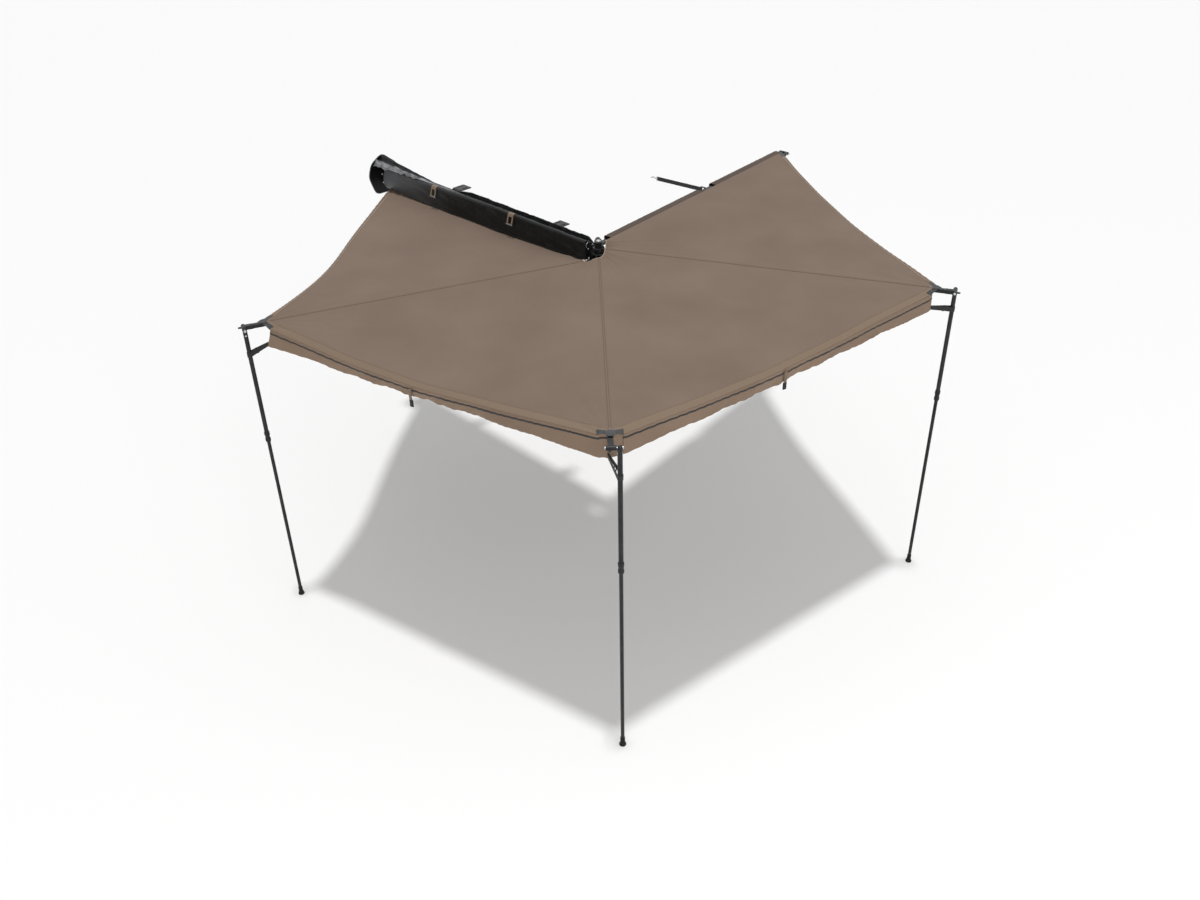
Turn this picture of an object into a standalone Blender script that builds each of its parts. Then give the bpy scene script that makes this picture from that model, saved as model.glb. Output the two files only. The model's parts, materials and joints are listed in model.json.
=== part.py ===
"""Fan awning that bolts to the roof bars of a vehicle.

Four rafters turn on one upright pin at the rear end of a backing bar and spread a canopy over
277 degrees. A leg hangs from the tip of each rafter and telescopes to the ground; the fourth leg
is stowed under the canopy, and a tie strap holds its rafter instead.

Metres, +Z up. The origin is the middle of the rear bracket's foot, where it rests on the roof bar.
+X runs along the backing bar away from the pin, and +Y points away from the vehicle.
Pieces of the bar and the bag are drawn in the hub's frame, whose origin is the pin's middle, and
pieces of a rafter in the rafter's own frame: x along it, y to its counter-clockwise side.
"""
import math

import bpy
import bmesh
import numpy as np

GAP = 0.0003                      # between pieces that touch

# Fan
RAFTERS = ("a", "b", "c", "d")
PANEL_ANGLES = (69.0, 68.0, 69.5, 70.5)                 # bar to a, a to b, b to c, c to d, degrees
LEG_PIVOT_RADIUS = {"a": 1.915, "b": 1.955, "c": 1.885, "d": 1.960}
LEG_SIDE = {"a": 1, "b": 1, "c": 1, "d": -1}            # the fourth leg folds under the canopy
HUB_HEIGHT = 1.728                # pin's middle above the ground
LEVEL_PITCH = 0.030               # each rafter lies this much above the one before it

# Hub
PIN_RADIUS = 0.008
PIN_FIT = 0.0003                  # radial play round the pin
PIN_HEAD_RADIUS = 0.013
PIN_HEAD = 0.006
PIN_END = 0.003                   # thread below the nut
EYE_RADIUS = 0.021
EAR_RADIUS = 0.024
EAR_THICKNESS = 0.006
END_PLATE = 0.008                 # hub bracket's plate on the bar's end
END_PLATE_X = 0.040
EAR_BACK = -0.045                  # back end of the upper ear on that plate
KNUCKLE_WIDTH = 0.026
KNUCKLE_HEIGHT = 0.016            # lower than a rafter, so the canopy clears it
KNUCKLE_REACH = 0.075             # from the pin to where the rafter starts

# Rafters: box tubes
RAFTER_WIDTH = 0.024
RAFTER_HEIGHT = 0.020
RAFTER_WALL = 0.0015
RAFTER_CORNER = 0.002
PLUG_CORNER = 0.00125
PLUG_LENGTH = 0.060
PLUG_ROOT = 0.005                 # how far a plug runs into its knuckle
TIP_BODY = 0.045                  # solid end of the tip knuckle behind the leg's pivot

# Tip knuckle and the bolt that the leg turns on
CROSS_TUBE_RADIUS = 0.011
CROSS_TUBE_TO_LEG = 0.0014
CROSS_TUBE_PAST = 0.010           # past the rafter on the side away from the leg
BOLT_RADIUS = 0.004
BOLT_FIT = 0.0003
BOLT_HEAD_RADIUS = 0.007
BOLT_HEAD = 0.004
EYELET_RADIUS = 0.007
EYELET_HOLE = 0.004
EYELET_REACH = 0.020
EYELET_THICKNESS = 0.004
EYELET_SIDE = 0.005

# Legs
LEG_OFFSET = 0.036                # leg's axis beside the rafter's
LEG_RADIUS = 0.011
LEG_WALL = 0.0015
LEG_HEAD = 0.030                  # solid head of the upper tube below the pivot
UPPER_TUBE = 0.610                # from the pivot to the upper tube's end
INNER_RADIUS = 0.0092
INNER_WALL = 0.0012
INNER_REACH = 1.220               # from the inner tube's top to the ground face of its foot
FOLDED = 90.0                     # how far the fourth leg is folded
STOWED_DEPTH = 0.045              # inner tube's top below the pivot when pushed home
COLLAR_RADIUS = 0.014
COLLAR_LENGTH = 0.060
COLLAR_BELOW = 0.035              # part of the collar below the upper tube's end
COLLAR_GROOVE = 0.002
COLLAR_WAIST = 0.014
FOOT_RADIUS = 0.017
FOOT_TOP_RADIUS = 0.0115
FOOT_HEIGHT = 0.050
FOOT_FLARE = 0.024
FOOT_SOLE = 0.020
FOOT_EDGE = 0.001

# Backing bar, in the hub's frame
BAR_FRONT = -0.055
BAR_DEPTH = 0.030
BAR_TOP = -0.010
BAR_BOTTOM = -0.105
BAR_END = 1.990
BAR_WALL = 0.0025
CHAMBER_BOTTOM = -0.034
CHAMBER_TOP = -0.024
BEAD_RADIUS = 0.003
BEAD_FIT = 0.0004
BEAD_NECK = 0.0010
ROOT_HEIGHT = -0.090              # groove that holds the canopy's bead
ROOT_DEPTH = 0.0045
ROOT_MOUTH = 0.0015               # half the groove's mouth
SLOT_HEIGHT = -0.050              # T-slot in the bar's back
SLOT_MOUTH = 0.0043
SLOT_HALF = 0.0068
SLOT_LIP = 0.0025
SLOT_DEPTH = 0.0095
END_CAP = 0.003

# Brackets to the roof bars
BRACKET_X = 0.460                 # rear bracket's middle ahead of the pin
BRACKET_SPACING = 0.910
BRACKET_WIDTH = 0.080
BRACKET_PLATE = 0.006
BRACKET_DROP = 0.090
BRACKET_BEND = 0.006
FOOT_DEPTH = 0.085
FOOT_SLOT_HALF = 0.0045
FOOT_SLOT_LENGTH = 0.045
FOOT_SLOT_X = 0.024
MOUNT_BOLT_X = 0.022
STUD_PLATE = 0.036                # half the length of the plate that the studs stand on
STUD_PLATE_THICKNESS = 0.004
NUT_HEIGHT = 0.005
MOUNT_BOLT_HEAD = 0.0065
END_BOLTS = ((-0.070, -0.017), (-0.066, -0.050), (-0.073, -0.080))  # y, z on the bar's end
END_BOLT_RADIUS = 0.003
END_BOLT_HEAD_RADIUS = 0.006
END_BOLT_HEAD = 0.0045
END_BOLT_DEPTH = 0.020

# Bag
COVER_THICKNESS = 0.0025
COVER_TOP = 0.0665
COVER_FRONT = 0.057
COVER_CORNER = 0.012
COVER_START = 0.052
COVER_END = 1.930                 # front edge of the cover's face; the hood runs on past it
COVER_CLEARANCE = 0.004           # between the cover's lower edge and the canopy
COVER_PIVOT_Y = -0.081
COVER_PIVOT_RISE = 0.00525        # hinge above the bar's top
COVER_EDGE = (-0.052, -0.100)     # lower edge's height at the rear and the front end
COVER_OVER_CANOPY = (0.078, 0.120)                       # where the canopy starts to lie under the edge
SOCKET_FROM, SOCKET_TO = 124.0, 358.0                    # the bar's lip round the cover's bead
REAR_WALL = 0.002                 # closed rear end of the cover
REAR_WALL_FOOT = ((-0.045, -0.015), (-0.010, -0.038))    # y, z of its lower back corners
END_PANEL = 0.002
END_PANEL_PEAK = (0.028, 0.131)   # corners of the end panel's outline before they are rounded, y, z
END_PANEL_BACK = (-0.088, 0.038)
END_PANEL_HEEL = (-0.088, -0.132)
END_PANEL_CHIN = (0.104, -0.132)
END_PANEL_NOSE = (0.148, -0.008)
END_PANEL_BROW = (0.118, 0.077)
END_PANEL_EASE = 0.035            # from a corner back to where its rounding starts
HOOD_START = 1.480                # loose front end of the cover, which rises to the end panel
HOOD_ROOT = -0.070                # y of its back edge, on the cover's top
HOOD_PEAK = (0.028, 0.121)        # y, z at the end panel: the ridge, the crease in front of it and the
HOOD_CREASE = (0.077, 0.095)      # free edge of the flap that hangs from the crease
HOOD_EDGE = (0.103, 0.068)
HOOD_FLAT = (-0.050, 0.018, 0.042)                       # y of the same three lines at the hood's start
HOOD_SINK = 0.0012                # hood's root sunk in the cover
HOOD_THICKNESS = 0.0022
STRAP_X = (0.670, 1.405)          # ahead of the pin
WEBBING = 0.0018
STRAP_WIDTH = 0.050
STRAP_LENGTH = 0.057              # from the cover's corner to the buckle's bar
STRAP_LEAN = 17.0                 # degrees out from upright
STRAP_BORDER = 0.011              # webbing beside the strap's opening
STRAP_HEAD = 0.012                # and above it
STRAP_HEM = 0.006                 # and below it
BUCKLE_BAR = 0.0028

# Canopy
FABRIC = 0.0015
HUB_OPENING = {"a": 0.090, "b": 0.065, "c": 0.050, "d": 0.060}          # radius of the hole round the hub
SLEEVE_START = 0.090
CANOPY_INSET = {"a": 0.080, "b": 0.075, "c": 0.075, "d": 0.052}
CANOPY_REST = 0.0006              # canopy above the rafters
CANOPY_DROP = 0.035               # how far a hem hangs in mid-span
HEM_SAG = (0.030, 0.006, 0.006, 0.030)                   # hem's curve inwards, share of its radius
SEAM_GAP = 0.0004
SLEEVE_WALL = 0.0015
SLEEVE_WIDTH = 0.037
SLEEVE_CORNER = 0.002
SLEEVE_FIT = 0.0004               # below the rafter; above, it is as high as the canopy
VALANCE_DEPTH = 0.105
VALANCE_MIDDLE = 0.050
VALANCE_INSET = 0.003
VALANCE_START = 0.055             # clear of the leg when it folds
VALANCE_STOP = {"b": 0.015, "c": 0.042}                  # before the last rafter's axis
VALANCE_FOLD = 0.005
VALANCE_FOLDS = 7
LEG_STRAP_HEIGHT = 0.025
LEG_STRAP_DROP = 0.083            # below the canopy at the valance's corner
LEG_STRAP_FALL = {"a": 0.026, "b": 0.034, "c": 0.004}    # from there to the leg
LEG_STRAP_FIT = 0.0004
LEG_STRAP_WALL = 0.0014

# Tie strap of the fourth rafter
TIE_RADIUS = 1.060
TIE_BRACKET = 0.100
TIE_WINDOW = 0.140
TIE_WALL = 0.0025
TIE_EAR = 0.040                   # pin of the tie beside the rafter's axis
TIE_EAR_RADIUS = 0.0075
TIE_EAR_THICKNESS = 0.003
TIE_EAR_GAP = 0.0008              # between the webbing and the ears
TIE_PIN_RADIUS = 0.003
TIE_LENGTH = 0.330
TIE_WIDTH = 0.025
TIE_THICKNESS = 0.0024
HOOK_WIRE = 0.003
HOOK_THROAT = 0.016
HOOK_BUCKLE = 0.008
HOOK_SHANK = 0.020

# Worked out from the driving dimensions
BAR_BACK = BAR_FRONT - BAR_DEPTH
BAR_START = END_PLATE_X + END_PLATE + GAP
FOOT_Y = BAR_BACK - GAP - BRACKET_PLATE - FOOT_DEPTH / 2
HUB = (-BRACKET_X, -FOOT_Y, 0.0)
STACK = LEVEL_PITCH * len(RAFTERS)
EYE_HEIGHT = LEVEL_PITCH - 2 * GAP
ANGLE = dict(zip(RAFTERS, np.cumsum(PANEL_ANGLES)))
LEVEL = {name: (i - (len(RAFTERS) - 1) / 2) * LEVEL_PITCH for i, name in enumerate(RAFTERS)}
CANOPY_RADIUS = {name: LEG_PIVOT_RADIUS[name] - CANOPY_INSET[name] for name in RAFTERS}
CANOPY_LEVEL = {name: LEVEL[name] + RAFTER_HEIGHT / 2 + CANOPY_REST for name in "abc"}
CANOPY_LEVEL["d"] = LEVEL["d"] + FOOT_RADIUS + CANOPY_REST              # over the folded leg
SLEEVE_HALF = SLEEVE_WIDTH / 2
END_CAP_X = BAR_END + GAP
END_PANEL_X = END_CAP_X + END_CAP + GAP
HOOD_END = END_CAP_X + END_CAP
COVER_PIVOT = (COVER_PIVOT_Y, BAR_TOP + COVER_PIVOT_RISE)
CANOPY_ROOT_Y = BAR_FRONT + GAP
CANOPY_ROOT_LEVEL = ROOT_HEIGHT - FABRIC / 2
CANOPY_ROOT_START = COVER_START + 0.010
PANEL_COLUMNS = (1 - np.cos(np.linspace(0, math.pi, 19))) / 2          # bunched at the rafters
CANOPY_ROOT_END = BAR_END - 0.005

COLOURS = {                       # base colour, roughness, metallic
    "powder_coat": ((0.020, 0.021, 0.023), 0.45, 0.0),
    "coated_alloy": ((0.020, 0.021, 0.023), 0.45, 0.0),
    "anodised": ((0.060, 0.063, 0.068), 0.38, 0.9),
    "steel": ((0.55, 0.55, 0.56), 0.30, 1.0),
    "rubber": ((0.015, 0.015, 0.016), 0.80, 0.0),
    "nylon": ((0.018, 0.018, 0.020), 0.50, 0.0),
    "pvc": ((0.014, 0.015, 0.016), 0.48, 0.0),
    "webbing": ((0.016, 0.016, 0.017), 0.90, 0.0),
    "taupe_webbing": ((0.225, 0.165, 0.125), 0.90, 0.0),
    "canvas": ((0.215, 0.165, 0.132), 0.85, 0.0),
}


# Shapes: each is a pair of a vertex list and a face list

def arc(centre, radius, start, stop, steps):
    """Points on a circle from one angle to another, in degrees."""
    angles = np.radians(np.linspace(start, stop, steps))
    return [(centre[0] + radius * math.cos(a), centre[1] + radius * math.sin(a)) for a in angles]


def rounded_rectangle(width, height, corner, steps=3):
    """Outline about the origin, counter-clockwise."""
    x, y = width / 2 - corner, height / 2 - corner
    outline = []
    for cx, cy, start in ((x, y, 0), (-x, y, 90), (-x, -y, 180), (x, -y, 270)):
        outline += arc((cx, cy), corner, start, start + 90, steps)
    return outline


def eased(corners, reach, steps=7):
    """Closed outline with each corner cut by a quadratic curve that starts a reach away along its sides."""
    corners = [np.array(corner) for corner in corners]
    outline = []
    for before, at, after in zip(corners[-1:] + corners[:-1], corners, corners[1:] + corners[:1]):
        start = at + (before - at) / np.linalg.norm(before - at) * reach
        stop = at + (after - at) / np.linalg.norm(after - at) * reach
        for t in np.linspace(0, 1, steps):
            outline.append(tuple((1 - t) ** 2 * start + 2 * t * (1 - t) * at + t ** 2 * stop))
    return outline


def placed(axis, a, b, h):
    """Outline point (a, b) at height h along an axis."""
    return {"X": (h, a, b), "Y": (a, h, b), "Z": (a, b, h)}[axis]


def loft(rings, closed=False):
    """Skin over rings of points; the ends are capped unless the loft closes on itself."""
    count = len(rings[0])
    verts = [p for ring in rings for p in ring]
    spans = len(rings) if closed else len(rings) - 1
    faces = []
    for i in range(spans):
        low, high = i * count, (i + 1) % len(rings) * count
        for j in range(count):
            k = (j + 1) % count
            faces.append((low + j, low + k, high + k, high + j))
    if not closed:
        faces.append(tuple(reversed(range(count))))
        faces.append(tuple(range(len(verts) - count, len(verts))))
    return verts, faces


def prism(outline, low, high, axis="Z"):
    """Outline carried straight along an axis."""
    return loft([[placed(axis, a, b, h) for a, b in outline] for h in (low, high)])


def hollow_prism(outer, inner, low, high, axis="Z"):
    """Tube between two outlines with as many points each."""
    rings = [(outer, low), (outer, high), (inner, high), (inner, low)]
    return loft([[placed(axis, a, b, h) for a, b in outline] for outline, h in rings], closed=True)


def box(low, high):
    """Box between two corners."""
    outline = [(low[0], low[1]), (high[0], low[1]), (high[0], high[1]), (low[0], high[1])]
    return prism(outline, low[2], high[2])


def rod(radius, low, high, axis="Z", centre=(0, 0), sides=16):
    """Cylinder along an axis; its centre is given in the plane across that axis."""
    return prism(arc(centre, radius, 0, 360 * (1 - 1 / sides), sides), low, high, axis)


def turned(profile, sides=16, axis="Z", centre=(0, 0)):
    """Profile of (radius, height) turned round an axis. A profile that starts and ends on the
    axis makes a solid, and any other makes a ring."""
    solid = profile[0][0] == 0 and profile[-1][0] == 0
    inner = profile[1:-1] if solid else profile
    rings = []
    for radius, h in inner:
        rings.append([placed(axis, a, b, h) for a, b in arc(centre, radius, 0, 360 * (1 - 1 / sides), sides)])
    verts, faces = loft(rings, closed=not solid)
    if solid:
        faces = faces[:-2]
        verts += [placed(axis, *centre, profile[0][1]), placed(axis, *centre, profile[-1][1])]
        first, last, start = len(verts) - 2, len(verts) - 1, (len(inner) - 1) * sides
        for j in range(sides):
            k = (j + 1) % sides
            faces += [(first, k, j), (last, start + j, start + k)]
    return verts, faces


def slab(low, high):
    """Closed sheet between two grids of points."""
    rows, columns = low.shape[:2]
    verts = [tuple(p) for p in np.concatenate([low.reshape(-1, 3), high.reshape(-1, 3)])]
    top = rows * columns
    index = np.arange(top).reshape(rows, columns)
    faces = []
    for i in range(rows - 1):
        for j in range(columns - 1):
            a, b, c, d = index[i, j], index[i, j + 1], index[i + 1, j + 1], index[i + 1, j]
            faces += [(a, b, c, d), (top + d, top + c, top + b, top + a)]
    rim = list(index[0]) + list(index[1:, -1]) + list(index[-1, -2::-1]) + list(index[-2:0:-1, 0])
    for a, b in zip(rim, rim[1:] + rim[:1]):
        faces.append((b, a, top + a, top + b))
    return verts, [tuple(int(i) for i in face) for face in faces]


def moved(shape, x=0.0, y=0.0, z=0.0, turn=0.0):
    """Shape turned about Z by an angle in degrees and then moved."""
    c, s = math.cos(math.radians(turn)), math.sin(math.radians(turn))
    verts = [(c * p[0] - s * p[1] + x, s * p[0] + c * p[1] + y, p[2] + z) for p in shape[0]]
    return verts, shape[1]


def hull(points):
    """Convex outline round points in a plane, counter-clockwise."""
    points = sorted(set(points))

    def chain(ordered):
        kept = []
        for p in ordered:
            while len(kept) > 1:
                (ax, ay), (bx, by) = kept[-2], kept[-1]
                if (bx - ax) * (p[1] - ay) - (by - ay) * (p[0] - ax) > 0:
                    break
                kept.pop()
            kept.append(p)
        return kept[:-1]

    return chain(points) + chain(points[::-1])


# Meshes and objects

def mesh_of(shape, name="shape"):
    """Blender mesh of a shape, with its faces pointing out."""
    mesh = bpy.data.meshes.new(name)
    mesh.from_pydata(shape[0], [], shape[1])
    work = bmesh.new()
    work.from_mesh(mesh)
    bmesh.ops.recalc_face_normals(work, faces=work.faces)
    work.to_mesh(mesh)
    work.free()
    return mesh


def carved(base, joins=(), cuts=()):
    """Mesh of a shape united with some shapes and then cut by others."""
    body = bpy.data.objects.new("body", mesh_of(base))
    helpers = [body]
    for operation, shapes in (("UNION", joins), ("DIFFERENCE", cuts)):
        for shape in shapes:
            tool = bpy.data.objects.new("tool", mesh_of(shape))
            step = body.modifiers.new("step", "BOOLEAN")
            step.operation = operation
            step.solver = "EXACT"
            step.object = tool
            helpers.append(tool)
    for helper in helpers:
        bpy.context.scene.collection.objects.link(helper)
    graph = bpy.context.evaluated_depsgraph_get()
    mesh = bpy.data.meshes.new_from_object(body.evaluated_get(graph))
    for helper in helpers:
        bpy.data.objects.remove(helper)
    return mesh


def material(name):
    """Principled material of one of the colours above."""
    if name in bpy.data.materials:
        return bpy.data.materials[name]
    colour, roughness, metallic = COLOURS[name]
    made = bpy.data.materials.new(name)
    made.use_nodes = True
    shader = made.node_tree.nodes["Principled BSDF"]
    shader.inputs["Base Color"].default_value = (*colour, 1.0)
    shader.inputs["Roughness"].default_value = roughness
    shader.inputs["Metallic"].default_value = metallic
    return made


def empty(name, parent=None, location=(0, 0, 0), rotation=(0, 0, 0)):
    """Frame that pieces are placed in."""
    frame = bpy.data.objects.new(name, None)
    frame.parent = parent
    frame.location = location
    frame.rotation_euler = rotation
    bpy.context.scene.collection.objects.link(frame)
    return frame


def piece(name, form, finish, parent, location=(0, 0, 0)):
    """Named object of a shape or a mesh in its parent's frame."""
    mesh = form.copy() if isinstance(form, bpy.types.Mesh) else mesh_of(form)
    mesh.name = name
    mesh.materials.clear()
    mesh.materials.append(material(finish))
    mesh.shade_smooth()
    mesh.set_sharp_from_angle(angle=math.radians(35))
    made = bpy.data.objects.new(name, mesh)
    made.parent = parent
    made.location = location
    bpy.context.scene.collection.objects.link(made)
    return made


# Canopy surface

def smoother(t):
    """Step from 0 to 1 that is flat at both ends."""
    t = np.clip(t, 0.0, 1.0)
    return t ** 3 * (t * (6 * t - 15) + 10)


def edge_line(name, side, s):
    """Azimuth, radius and height of a panel's edge along a rafter, or along the bar where there
    is no rafter name. Side is the distance from the rafter's axis, and s runs out from the hub."""
    if name is None:
        x = CANOPY_ROOT_START + s * (CANOPY_ROOT_END - CANOPY_ROOT_START)
        return np.arctan2(CANOPY_ROOT_Y, x), np.hypot(x, CANOPY_ROOT_Y), CANOPY_ROOT_LEVEL + 0 * s
    radius = HUB_OPENING[name] + s * (CANOPY_RADIUS[name] - HUB_OPENING[name])
    return math.radians(ANGLE[name]) + np.arcsin(side / radius), radius, CANOPY_LEVEL[name] + 0 * s


def panel_grid(index, u, s):
    """Points of a panel's underside. At s = 1 the hem is a straight line between the corners,
    drawn in by its sag; at s = 0 it is an arc round the hub."""
    names = (None,) + RAFTERS
    last_side = -(SLEEVE_HALF + SEAM_GAP) if names[index + 1] == "d" else -SEAM_GAP
    a0, r0, z0 = edge_line(names[index], SEAM_GAP, s)
    a1, r1, z1 = edge_line(names[index + 1], last_side, s)
    angle = a0 + u * (a1 - a0)
    chord = r0 * r1 * np.sin(a1 - a0) / (r0 * np.sin(angle - a0) + r1 * np.sin(a1 - angle))
    chord = chord * (1 - HEM_SAG[index] * 4 * u * (1 - u) * s)
    radius = (1 - s) * (r0 + u * (r1 - r0)) + s * chord
    height = z0 + (z1 - z0) * smoother(u) - CANOPY_DROP * np.sin(math.pi * u) ** 2 * s
    return np.stack([radius * np.cos(angle), radius * np.sin(angle), height], axis=-1)


def panel(index, rows=9):
    """Closed sheet of one canopy panel."""
    u, s = np.meshgrid(PANEL_COLUMNS, np.linspace(0, 1, rows), indexing="ij")
    low = panel_grid(index, u, s)
    return slab(low, low + np.array([0, 0, FABRIC]))


def beaded_panel():
    """First panel, with the bead along its edge that slides in the bar's groove."""
    centre = (BAR_FRONT - ROOT_DEPTH, ROOT_HEIGHT)
    bead = rod(BEAD_RADIUS, CANOPY_ROOT_START, CANOPY_ROOT_END, "X", centre, 12)
    neck = box((CANOPY_ROOT_START, centre[0], ROOT_HEIGHT - BEAD_NECK / 2),
               (CANOPY_ROOT_END, CANOPY_ROOT_Y + GAP, ROOT_HEIGHT + BEAD_NECK / 2))
    return carved(panel(0), [neck, bead])


def canopy_height(x, y):
    """Height of the first panel's underside near the bar."""
    radius, angle = math.hypot(x, y), math.atan2(y, x)
    start = math.asin(CANOPY_ROOT_Y / radius)
    share = (angle - start) / (math.radians(ANGLE["a"]) - start)
    return CANOPY_ROOT_LEVEL + (CANOPY_LEVEL["a"] - CANOPY_ROOT_LEVEL) * float(smoother(share))


def hem(index, u):
    """Points along a panel's lower hem, on the straight runs between its columns."""
    corners = panel_grid(index, PANEL_COLUMNS, np.ones_like(PANEL_COLUMNS))
    return np.stack([np.interp(u, PANEL_COLUMNS, corners[:, k]) for k in range(3)], axis=-1)


def hem_share(index, side):
    """Place u on a panel's hem that lies a distance beside its first (side above 0) or its last
    rafter (side below 0)."""
    names = (None,) + RAFTERS
    name = names[index] if side > 0 else names[index + 1]
    turn = math.asin(abs(side) / CANOPY_RADIUS[name]) / math.radians(PANEL_ANGLES[index])
    return turn if side > 0 else 1 - turn


def valance(index, columns=43, rows=3):
    """Skirt below a hem, deepest at its corners and drawn in soft folds."""
    start = hem_share(index, VALANCE_START)
    stop = hem_share(index, -VALANCE_STOP[RAFTERS[index]])
    u, v = np.meshgrid(np.linspace(start, stop, columns), np.linspace(0, 1, rows), indexing="ij")
    top = hem(index, u)
    out = top[..., :2] / np.linalg.norm(top[..., :2], axis=-1, keepdims=True)
    share = (u - start) / (stop - start)
    depth = VALANCE_MIDDLE + (VALANCE_DEPTH - VALANCE_MIDDLE) * np.abs(2 * share - 1) ** 1.6
    fold = VALANCE_FOLD * v * np.sin(2 * math.pi * VALANCE_FOLDS * share) * np.sin(math.pi * share)
    grid = top.copy()
    grid[..., :2] += out * (fold - VALANCE_INSET)[..., None]
    grid[..., 2] -= SEAM_GAP + v * depth
    inside = grid.copy()
    inside[..., :2] -= out * FABRIC
    return slab(inside, grid)


# Backing bar, brackets and hub

def bar_outline():
    """Bar's section as (y, z): a groove for the canopy's bead in front, a T-slot behind and a
    lip round the cover's bead on top."""
    socket = BEAD_RADIUS + BEAD_FIT
    groove = (BAR_FRONT - ROOT_DEPTH, ROOT_HEIGHT)
    mouth = math.degrees(math.asin(ROOT_MOUTH / socket))
    points = [(BAR_BACK, BAR_BOTTOM), (BAR_FRONT, BAR_BOTTOM), (BAR_FRONT, ROOT_HEIGHT - ROOT_MOUTH)]
    points += arc(groove, socket, -mouth, mouth - 360, 13)
    points += [(BAR_FRONT, ROOT_HEIGHT + ROOT_MOUTH), (BAR_FRONT, BAR_TOP)]
    foot = arc(COVER_PIVOT, socket, SOCKET_TO, SOCKET_FROM, 12)
    points += [(foot[0][0] + 0.002, BAR_TOP)] + foot + [(BAR_BACK, foot[-1][1])]
    back = [(0, -SLOT_MOUTH), (SLOT_LIP, -SLOT_MOUTH), (SLOT_LIP, -SLOT_HALF), (SLOT_DEPTH, -SLOT_HALF)]
    back = [(x, -z) for x, z in back] + back[::-1]
    points += [(BAR_BACK + x, SLOT_HEIGHT + z) for x, z in back]
    return points


def chamber(inset, start, stop):
    """Hollow of the bar, or what fits in it."""
    low = (start, BAR_BACK + BAR_WALL + inset, CHAMBER_BOTTOM + inset)
    return box(low, (stop, BAR_FRONT - BAR_WALL - inset, CHAMBER_TOP - inset))


def build_bar(hub):
    """Extruded bar and its end cap."""
    holes = [rod(END_BOLT_RADIUS + GAP, BAR_START - 0.001, BAR_START + END_BOLT_DEPTH + GAP, "X", place, 16)
             for place in END_BOLTS]
    bar = carved(prism(bar_outline(), BAR_START, BAR_END, "X"), (),
                 [chamber(0, BAR_START - 0.001, BAR_END + 0.001)] + holes)
    piece("backing_bar", bar, "coated_alloy", hub)
    plate = box((END_CAP_X, BAR_BACK, BAR_BOTTOM), (END_CAP_X + END_CAP, BAR_FRONT, BAR_TOP))
    plug = chamber(0.0004, BAR_END - 0.025, END_CAP_X + END_CAP / 2)
    piece("bar_end_cap", carved(plate, [plug]), "nylon", hub)


def bracket_outline():
    """L of the bracket, as (y, z), with its foot's underside at 0."""
    face = BAR_BACK - GAP
    far = FOOT_Y - FOOT_DEPTH / 2
    bend = (face - BRACKET_PLATE - BRACKET_BEND, -BRACKET_BEND)
    outer = arc(bend, BRACKET_BEND + BRACKET_PLATE, 0, 90, 6)
    inner = arc(bend, BRACKET_BEND, 90, 0, 5)
    return [(face, -BRACKET_DROP), *outer, (far, BRACKET_PLATE), (far, 0.0), *inner,
            (face - BRACKET_PLATE, -BRACKET_DROP)]


def build_brackets(hub):
    """Two L brackets behind the bar, each on a pair of studs that slide in the bar's slot."""
    face = BAR_BACK - GAP
    half = BRACKET_WIDTH / 2
    cuts = []
    run = FOOT_SLOT_LENGTH / 2 - FOOT_SLOT_HALF
    for x in (-FOOT_SLOT_X, FOOT_SLOT_X):
        slot = arc((x, FOOT_Y + run), FOOT_SLOT_HALF, 0, 180, 8)
        slot += arc((x, FOOT_Y - run), FOOT_SLOT_HALF, 180, 360, 8)
        cuts.append(prism(slot, -GAP, BRACKET_PLATE + GAP))
    for x in (-MOUNT_BOLT_X, MOUNT_BOLT_X):
        cuts.append(rod(BOLT_RADIUS + GAP, face - BRACKET_PLATE - GAP, face + GAP, "Y", (x, SLOT_HEIGHT), 16))
    bracket = carved(prism(bracket_outline(), -half, half, "X"), cuts=cuts)
    back = face - BRACKET_PLATE - GAP
    inside = BAR_BACK + SLOT_LIP + GAP
    profile = [(0, back - NUT_HEIGHT), (MOUNT_BOLT_HEAD, back - NUT_HEIGHT), (MOUNT_BOLT_HEAD, back),
               (BOLT_RADIUS, back), (BOLT_RADIUS, inside + GAP), (0, inside + GAP)]
    plate_half = SLOT_HALF - GAP
    plate = box((-STUD_PLATE, inside, SLOT_HEIGHT - plate_half),
                (STUD_PLATE, inside + STUD_PLATE_THICKNESS, SLOT_HEIGHT + plate_half))
    studs = carved(plate, [turned(profile, 16, "Y", (x, SLOT_HEIGHT)) for x in (-MOUNT_BOLT_X, MOUNT_BOLT_X)])
    for name, x in (("rear", BRACKET_X), ("front", BRACKET_X + BRACKET_SPACING)):
        piece("%s_bracket" % name, bracket, "powder_coat", hub, (x, 0, 0))
        piece("%s_bracket_studs" % name, studs, "steel", hub, (x, 0, 0))


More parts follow.
